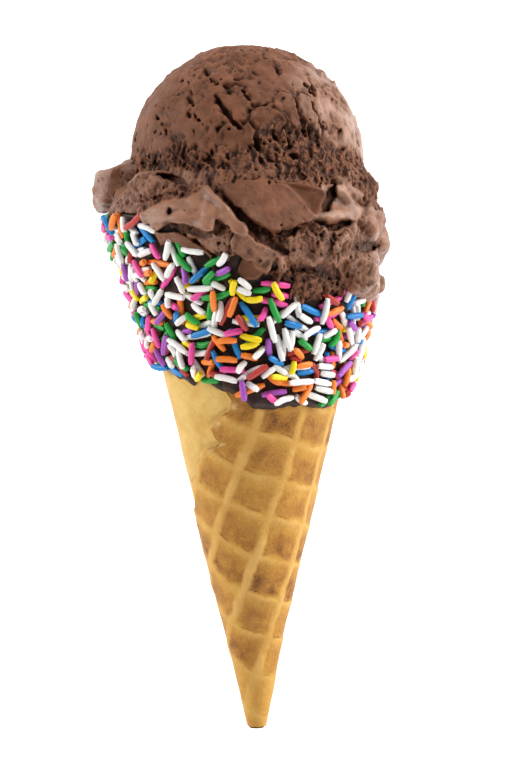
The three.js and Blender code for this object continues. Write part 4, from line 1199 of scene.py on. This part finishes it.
class Cream:
    """The signed distance from points to the ice cream's surface, and how torn, wet and hollow it is there. The plain
    form has no crumbs, marks or uneven edges."""

    def __init__(self, points, plain):
        self.points, self.plain = points, plain
        self.x, self.height, self.front = points[:, 0], points[:, 1], points[:, 2] > 0
        self.azimuth = np.arctan2(points[:, 2], points[:, 0]) / RAD
        self.radius = np.hypot(points[:, 0], points[:, 2])
        self.bed = skirt_bed(self.azimuth, self.height)
        self.rim = rim_height(self.azimuth)
        self.torn, self.wet, self.hollow = np.zeros((3, len(points)))

    def join(self, near, piece, blend, how_torn, how_wet):
        """Adds a piece, given by the distances to it of the points near it."""
        old = self.distance[near]
        share = smoothstep(-0.4, 0.4, old - piece)
        self.distance[near] = smooth_union(old, piece, blend)
        self.torn[near] = mix(self.torn[near], how_torn, share)
        self.wet[near] = mix(self.wet[near], how_wet, share)
        self.hollow[near] = mix(self.hollow[near], 0.0, share)

    def start(self, marks):
        """The scoop, and the foot of its skirt."""
        from_centre = self.points - SCOOP_CENTRE
        ball = np.linalg.norm(from_centre, axis=1) - SCOOP_RADIUS
        if marks:
            self.torn = dome_torn(self.points)
            near = np.flatnonzero((np.abs(ball) < 4) & (self.height > 168))
            relief, beside, deep = dome_relief(self.points[near], marks)
            ball[near] -= relief
            self.torn[near] = np.maximum(self.torn[near], beside)
            # Grooves and slits are kept as hollow, which paints shade in them.
            self.hollow[near] = np.clip(deep / 1.2, 0, 1)
            # The side that faces the way it was dragged is wet, which also paints its colour lighter there, partly as
            # painted sheen.
            self.wet = smoothstep(0.72, 0.94, from_centre @ DRAGGED / SCOOP_RADIUS) * (1 - self.torn)
        wave = np.sin((3 * self.azimuth + 200) * RAD) + 0.8 * np.sin((7 * self.azimuth + 60) * RAD)
        swell = 0.0 if self.plain else 1.2 * uneven(self.points, 7.0, 41)
        skirt = smooth_both(self.radius - self.bed + 0.2 - swell, self.rim - 1.0 + wave - self.height, 1.2)
        skirt = smooth_both(skirt, self.height - SKIRT_TOP - 1, 1.2)
        self.distance = smooth_union(ball, skirt, 1.5)
        lower = skirt < ball
        # The torn mass at the left is damp, and its wet colour there is partly painted light on a part that lies in
        # shade; the foot of the dome is dry.
        damp_and_painted_light = smoothstep(-8, -18, self.x)
        self.torn = np.where(lower, mix(0.85, 0.55, damp_and_painted_light), self.torn)
        self.wet = np.where(lower, mix(0.08, 0.5, damp_and_painted_light), self.wet)
        self.hollow = np.where(lower, 0.0, self.hollow)

    def add_lobes(self):
        for lobe in LOBES:
            centre = from_axis(lobe[0], lobe[2], lobe[1])
            near = near_path(self.points, np.array([centre]), max(lobe[3]) * 1.4 + 4)
            if len(near):
                place = self.points[near]
                if not self.plain:
                    place = warped(warped(place, 9.0, 1.2, 61), 3.5, 0.5, 64)
                # Its wetness also paints its colour lighter, partly as painted light and painted sheen.
                self.join(near, lobe_distance(place, lobe), 0.7, lobe[8], 0.8 * (1 - lobe[8]))

    def add_folds(self):
        x, height = self.x, self.height
        for fold in FOLDS:
            outline = fold["outline"]
            xs, ys = [p[0] for p in outline], [p[1] for p in outline]
            near = np.flatnonzero(
                self.front & (x > min(xs) - 4) & (x < max(xs) + 4) & (height > min(ys) - 4)
                & (height < max(ys) + 4) & (self.radius > 26)
            )
            if not len(near):
                continue
            across, up = x[near], height[near]
            at_x, at_y, stands = fold["stands"]
            lean_x, lean_y = fold["leans"]
            limit, steep = fold.get("falls", (0, 0))
            beyond = stands + lean_x * (across - at_x) + lean_y * (up - at_y)
            beyond = beyond - steep * np.maximum(0, limit - across) ** 2
            sides = outline_distance(across, up, outline)
            frayed, how_wet = fold["torn"], fold["wet"]
            if "frays" in fold:
                over = smoothstep(-0.6, 0.8, up - np.interp(across, *np.transpose(fold["frays"])))
                frayed, how_wet = mix(frayed, 0.9, over), how_wet * (1 - over)
            if not self.plain:
                beyond = beyond + (0.3 + 0.6 * frayed) * uneven(self.points[near], 6.0, 43)
                sides = sides + (0.12 + 0.8 * frayed) * uneven(self.points[near], 1.8, 44)
                # A thin rim stands up along the edge of a smooth face.
                beyond = beyond + 0.35 * (1 - frayed) * np.exp(-(((sides + 0.55) / 0.35) ** 2))
            level = self.radius[near] - self.bed[near] - beyond
            piece = smooth_both(level, sides, fold["edge"])
            piece = smooth_both(piece, -level - fold["thick"], 1.0)
            self.join(near, piece, 0.3, frayed, how_wet)

    def add_lumps(self):
        for right, up, beyond, sizes, faces, square, how_torn, how_wet in LUMPS:
            azimuth, reach = on_skirt(right, up, beyond)
            turned = 0 if faces is None else faces - azimuth
            lump = (azimuth, up, reach, sizes, 0, 0, turned, square, how_torn)
            near = near_path(self.points, np.array([from_axis(azimuth, reach, up)]), max(sizes) * 1.4 + 3)
            if len(near):
                place = self.points[near]
                if not self.plain:
                    place = warped(place, 8.0, 0.3 if square > 4 else 1.3, 68)
                    place = warped(place, 3.2, 0.2 + 0.7 * how_torn, 67)
                self.join(near, lobe_distance(place, lump, True), 0.5, how_torn, how_wet)

    def add_rolls(self):
        for roll in ROLLS:
            path = []
            for right, up, beyond in roll["path"]:
                azimuth, reach = on_skirt(right, up, beyond - roll["radius"])
                path.append(from_axis(azimuth, reach, up))
            path = np.array(path)
            near = near_path(self.points, path, roll["radius"] + 4)
            if len(near):
                away = path_distance(self.points[near], path)[0]
                if not self.plain:
                    away = away + (0.1 + 0.8 * roll["torn"]) * uneven(self.points[near], 2.2, 46)
                self.join(near, away - roll["radius"], 1.6, roll["torn"], roll["wet"])

    def cut_creases(self):
        x, height = self.x, self.height
        for width, floor_level, crease in CREASES:
            flat = np.array([(right, up, 0.0) for right, up in crease])
            spot = flat.mean(0)
            reach = np.linalg.norm(flat - spot, axis=1).max() + width + 3
            near = np.flatnonzero(
                self.front & ((x - spot[0]) ** 2 + (height - spot[1]) ** 2 < reach**2) & (self.radius > 26))
            if len(near):
                seen = np.column_stack([x[near], height[near], np.zeros(len(near))])
                away, share, _ = path_distance(seen, flat)
                slot = away - width * (0.35 + 0.65 * smoothstep(0, 0.2, share) * (1 - smoothstep(0.8, 1, share)))
                if not self.plain:
                    slot = slot - 0.35 * uneven(self.points[near], 1.8, 45)
                slot = smooth_both(slot, self.bed[near] + floor_level - self.radius[near], 0.5)
                self.distance[near] = smooth_cut(self.distance[near], slot, 0.5)
                # A crease is kept as hollow, which paints shade in it.
                self.hollow[near] = np.maximum(self.hollow[near], 1 - smoothstep(-0.2, 0.9, slot))

    def roughen(self):
        """Crumbs where it is torn, a fine unevenness where it is smooth, and pits of three sizes."""
        near = np.flatnonzero((np.abs(self.distance) < 2.2) & (self.height > 130))
        place = self.points[near]
        how = self.torn[near]
        # Dragged crumbs are longer up the cone than across.
        drawn = place * (1, 0.65, 1)
        grain = 0.32 * crumbs(drawn, 1.5, 51) + 0.2 * crumbs(drawn, 0.8, 52) - 0.08
        before = self.distance[near]
        after = before - how * grain - (1 - how) * (0.12 * uneven(place, 2.4, 53) + 0.06 * uneven(place, 1.1, 58))
        moved = warped(drawn, 1.5, 0.35, 56)
        for size, share, seed, blend in ((2.3, how * 0.65, 54, 0.15), (1.5, 0.12 + how * 0.75, 55, 0.1),
                                         (1.1, 0.08 + how * 0.85, 57, 0.1)):
            after = smooth_cut(after, pits(moved, size, share, seed), blend)
        self.distance[near] = after
        # How deep the pits cut is kept as hollow, which paints shade in them.
        self.hollow[near] = np.maximum(self.hollow[near], np.clip((after - before + 0.05) / 0.65, 0, 1))


def cream_field(points, marks=None):
    """Signed distance to the ice cream's surface, and how torn, wet and hollow it is there. Without marks it is
    the plain form alone."""
    cream = Cream(points, plain=not marks)
    cream.start(marks)
    cream.add_lobes()
    cream.add_folds()
    cream.add_lumps()
    cream.add_rolls()
    cream.cut_creases()
    if marks:
        cream.roughen()
    # The room that the wall and the chocolate on it need, and the table.
    wall = np.maximum(cream.height - cream.rim - 0.4,
                      np.maximum(cream.radius - dip_radius(cream.azimuth, cream.height),
                                 side_radius(cream.height) - WALL - cream.radius))
    distance = np.maximum(cream.distance, -wall)
    return np.maximum(distance, -above_table(points)), cream.torn, cream.wet * (1 - cream.hollow), cream.hollow


def without_pinches(field):
    """Fills what would make two sheets of the surface touch along an edge: a square of the grid whose corners are
    inside and outside by turns."""
    for _ in range(12):
        found = 0
        for one, two in ((0, 1), (1, 2), (0, 2)):
            spans = {}
            for i, j in ((0, 0), (1, 0), (0, 1), (1, 1)):
                span = [slice(None)] * 3
                span[one] = slice(1, None) if i else slice(None, -1)
                span[two] = slice(1, None) if j else slice(None, -1)
                spans[i, j] = tuple(span)
            inside = {key: field[span] < 0 for key, span in spans.items()}
            like = (inside[0, 0] == inside[1, 1]) & (inside[1, 0] == inside[0, 1])
            pinched = like & (inside[0, 0] != inside[1, 0])
            for key in ((0, 0), (1, 0)):
                part = field[spans[key]]
                part[pinched & ~inside[key]] = -0.02
            found += int(pinched.sum())
        if not found:
            break
    return field


def surface_net(field, corner, step):
    """The surface where a field on a grid is zero, as points and faces that point outwards."""
    below = field < 0
    count = np.zeros(tuple(n - 1 for n in field.shape), np.uint8)
    offsets = [(i, j, k) for i in (0, 1) for j in (0, 1) for k in (0, 1)]
    spans = [[slice(o, field.shape[axis] - 1 + o) for axis, o in enumerate(offset)] for offset in offsets]
    for span in spans:
        count += below[tuple(span)]
    cells = np.argwhere((count > 0) & (count < 8))
    total = np.zeros((len(cells), 3))
    crossings = np.zeros(len(cells))
    for first in offsets:
        for axis in range(3):
            if first[axis]:
                continue
            second = list(first)
            second[axis] = 1
            a = field[tuple((cells + first).T)]
            b = field[tuple((cells + second).T)]
            crosses = (a < 0) != (b < 0)
            share = np.where(crosses, a / np.where(crosses, a - b, 1), 0)
            total += np.where(crosses[:, None], np.array(first) + share[:, None] * np.eye(3)[axis], 0)
            crossings += crosses
    points = corner + step * (cells + total / crossings[:, None])
    shape = np.array(count.shape)
    keys = np.ravel_multi_index(cells.T, shape)
    faces = []
    for axis in range(3):
        after = [slice(None)] * 3
        before = [slice(None)] * 3
        after[axis], before[axis] = slice(1, None), slice(None, -1)
        low, high = below[tuple(before)], below[tuple(after)]
        other = [(axis + 1) % 3, (axis + 2) % 3]
        edges = np.argwhere(low != high)
        edges = edges[(edges[:, other[0]] > 0) & (edges[:, other[1]] > 0)]
        edges = edges[(edges[:, other[0]] < shape[other[0]]) & (edges[:, other[1]] < shape[other[1]])]
        one, two = np.eye(3, dtype=int)[other[0]], np.eye(3, dtype=int)[other[1]]
        ring = [edges, edges - one, edges - one - two, edges - two]
        quads = np.stack([np.searchsorted(keys, np.ravel_multi_index(r.T, shape)) for r in ring], 1)
        outward = low[tuple(edges.T)]
        quads[~outward] = quads[~outward][:, ::-1]
        faces.append(quads)
    return points, np.concatenate(faces)


def largest_part(points, faces):
    """Drops the loose scraps of a mesh."""
    label = np.arange(len(points))
    while True:
        lowest = label[faces].min(1)
        new = label.copy()
        for corner in range(faces.shape[1]):
            np.minimum.at(new, faces[:, corner], lowest)
        new = new[new]
        if (new == label).all():
            break
        label = new
    names, sizes = np.unique(label, return_counts=True)
    kept = label == names[sizes.argmax()]
    index = np.cumsum(kept) - 1
    return points[kept], index[faces[kept[faces[:, 0]]]]


def drop_flaps(mesh):
    """Drops each pair of triangles that lie back to back on the same three points."""
    place = np.zeros(len(mesh.vertices) * 3, np.float32)
    mesh.vertices.foreach_get("co", place)
    corners = np.zeros(len(mesh.loops), np.int32)
    mesh.loops.foreach_get("vertex_index", corners)
    faces = corners.reshape(-1, 3)
    _, index, counts = np.unique(np.sort(faces, 1), axis=0, return_inverse=True, return_counts=True)
    faces = faces[(counts % 2 == 1)[index.ravel()]]
    used = np.unique(faces)
    mesh.clear_geometry()
    mesh.from_pydata(place.reshape(-1, 3)[used].tolist(), [], np.searchsorted(used, faces).tolist())
    mesh.update()


def sampled(low, high, step, marks):
    """The field on a grid, worked out in full only near the surface: every fourth point first, then every second,
    then all."""
    shape = np.ceil((high - low) / (4 * step)).astype(int) + 1
    axes = [low[i] + 4 * step * np.arange(shape[i]) for i in (0, 1, 2)]
    grid = np.stack(np.meshgrid(*axes, indexing="ij"), -1).reshape(-1, 3)
    field = cream_field(grid)[0].reshape(shape).astype(np.float32)
    for spacing, band in ((2 * step, 3.6), (step, 2.0)):
        shape = 2 * (np.array(field.shape) - 1) + 1
        index = [np.minimum((np.arange(n) + 1) // 2, field.shape[i] - 1) for i, n in enumerate(shape)]
        field = field[np.ix_(*index)]
        near = np.argwhere(np.abs(field) < band + spacing)
        block = 400000
        for start in range(0, len(near), block):
            part = near[start : start + block]
            field[tuple(part.T)] = cream_field(low + spacing * part, marks)[0]
    for axis in (0, 1, 2):
        for side in (0, -1):
            span = [slice(None)] * 3
            span[axis] = side
            field[tuple(span)] = np.maximum(field[tuple(span)], 0.1)
    return field


NET_STEP = 0.3
NET_LOW = np.array([-49.0, 128.0, -46.0])
NET_HIGH = np.array([46.0, 218.5, 46.0])
MOST_TRIANGLES = 197000


def thinned(piece, points, ratio):
    """Thins the mesh out in millimetres, and least on the front."""
    piece.data.transform(Matrix.Scale(1 / MM, 4))
    back = piece.vertex_groups.new(name="back")
    away = 1 - 0.5 * smoothstep(-8, 4, points[:, 2]) * smoothstep(133, 137, points[:, 1])
    for level in np.unique(away.round(1)):
        back.add(np.flatnonzero(away.round(1) == level).tolist(), float(level), "REPLACE")
    thin = piece.modifiers.new("thin", "DECIMATE")
    thin.ratio = ratio
    thin.use_collapse_triangulate = True
    thin.vertex_group = "back"
    thin.vertex_group_factor = 0.004
    graph = bpy.context.evaluated_depsgraph_get()
    piece.data = bpy.data.meshes.new_from_object(piece.evaluated_get(graph))
    piece.modifiers.remove(piece.modifiers["thin"])
    piece.vertex_groups.clear()
    piece.data.transform(Matrix.Scale(MM, 4))
    drop_flaps(piece.data)


def ice_cream():
    """The scoop and its skirt as one closed mesh. Its filling of the cone is plain, as nothing of it shows."""
    random_edges, random_slits = random_marks()
    edges = [(on_dome(path), height) for path, height in PLATE_EDGES] + random_edges
    slits = [(on_dome(path), width, depth) for path, width, depth in SLITS] + random_slits
    marks = (edges, slits)
    step = NET_STEP
    field = without_pinches(sampled(NET_LOW, NET_HIGH, step, marks))
    points, faces = largest_part(*surface_net(field, NET_LOW, step))
    piece = mesh_piece("ice_cream_scoop", points, faces.tolist())
    if 2 * len(faces) > MOST_TRIANGLES:
        thinned(piece, points, MOST_TRIANGLES / (2 * len(faces)))
    place = np.zeros(len(piece.data.vertices) * 3)
    piece.data.vertices.foreach_get("co", place)
    standing = (place.reshape(-1, 3) / MM - TABLE_SHIFT) @ TABLE_TURN
    for name, values in zip(("torn", "wet", "hollow"), cream_field(standing, marks)[1:]):
        set_attribute(piece, name, values)
    piece.data.materials.append(frozen_cream())
    piece.data.shade_smooth()
    return piece


# ---------------------------------------------------------------- floor, light and camera


def floor():
    """A bare white board that glows a little, so that it shows no edge."""
    mesh = bpy.data.meshes.new("floor")
    side = 6.0
    mesh.from_pydata([(-side, -side, 0), (side, -side, 0), (side, side, 0), (-side, side, 0)], [], [(0, 1, 2, 3)])
    made, tree = material("matt_white_board")
    finish_material(tree, add(tree, "ShaderNodeBsdfPrincipled", {
        "Base Color": shade("#000000"), "Roughness": 1.0, "Specular IOR Level": 0.0,
        "Emission Color": shade("#ffffff"), "Emission Strength": 1.5,
    }))
    mesh.materials.append(made)
    piece = in_scene("floor", mesh)


# Each softbox has its place, its size and its power. All of them point at the middle of the cone.
SOFTBOXES = {
    "key_above": ((0.4, 0.7, 0.55), (0.18, 0.14), 6.6),
    "right": ((0.9, 0.15, 0.3), (0.3, 0.6), 8.6),
    "left": ((-0.9, 0.2, 0.4), (0.3, 0.6), 8.2),
    "low_front": ((0.1, -0.85, 0.28), (0.25, 0.18), 3.2),
}


def softbox(name, place, size, power):
    lamp = bpy.data.lights.new(name, "AREA")
    lamp.shape = "RECTANGLE"
    lamp.size, lamp.size_y = size
    lamp.energy = power
    light = in_scene(name, lamp)
    light.location = place
    middle = Vector((0.0, -0.04, 0.04))
    light.rotation_euler = (middle - Vector(place)).to_track_quat("-Z", "Y").to_euler()


def studio():
    world = bpy.data.worlds.new("studio")
    bpy.context.scene.world = world
    world.use_nodes = True
    back = world.node_tree.nodes["Background"]
    back.inputs["Color"].default_value = shade("#ffffff")
    back.inputs["Strength"].default_value = 0.3
    for name, (place, size, power) in SOFTBOXES.items():
        softbox(name, place, size, power)
    bpy.context.scene.view_settings.view_transform = "Standard"


def camera():
    """The camera looks down on the side that shows, with the cone's axis leaning a little."""
    middle = (3.7, 114.4)
    distance = 544.0
    roll = 0.47 * RAD
    seen_length = 230.4
    view_right = np.array([math.cos(roll), -math.sin(roll), 0.0])
    view_up = np.array([math.sin(roll), math.cos(roll), 0.0])
    place = laid(np.array([[middle[0], middle[1], distance]]))[0]
    right, up, back = (TABLE_TURN @ way for way in (view_right, view_up, np.array([0.0, 0.0, 1.0])))
    data = bpy.data.cameras.new("camera")
    data.lens = data.sensor_width * distance / seen_length
    data.clip_start, data.clip_end = 0.01, 20.0
    eye = in_scene("camera", data)
    eye.matrix_world = Matrix([
        [right[0], up[0], back[0], place[0]],
        [right[1], up[1], back[1], place[1]],
        [right[2], up[2], back[2], place[2]],
        [0, 0, 0, 1],
    ])
    bpy.context.scene.camera = eye


# ---------------------------------------------------------------- all of it

camera()
studio()
floor()

cone = waffle_cone()
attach(cone, "root")
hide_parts("waffle_cone")

film = chocolate_dip()
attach(film, "root")
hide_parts("chocolate_dip")

for strands in sprinkles():
    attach(strands, "root")
    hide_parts("chocolate_dip")

cream = ice_cream()
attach(cream, "root")
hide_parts("ice_cream")
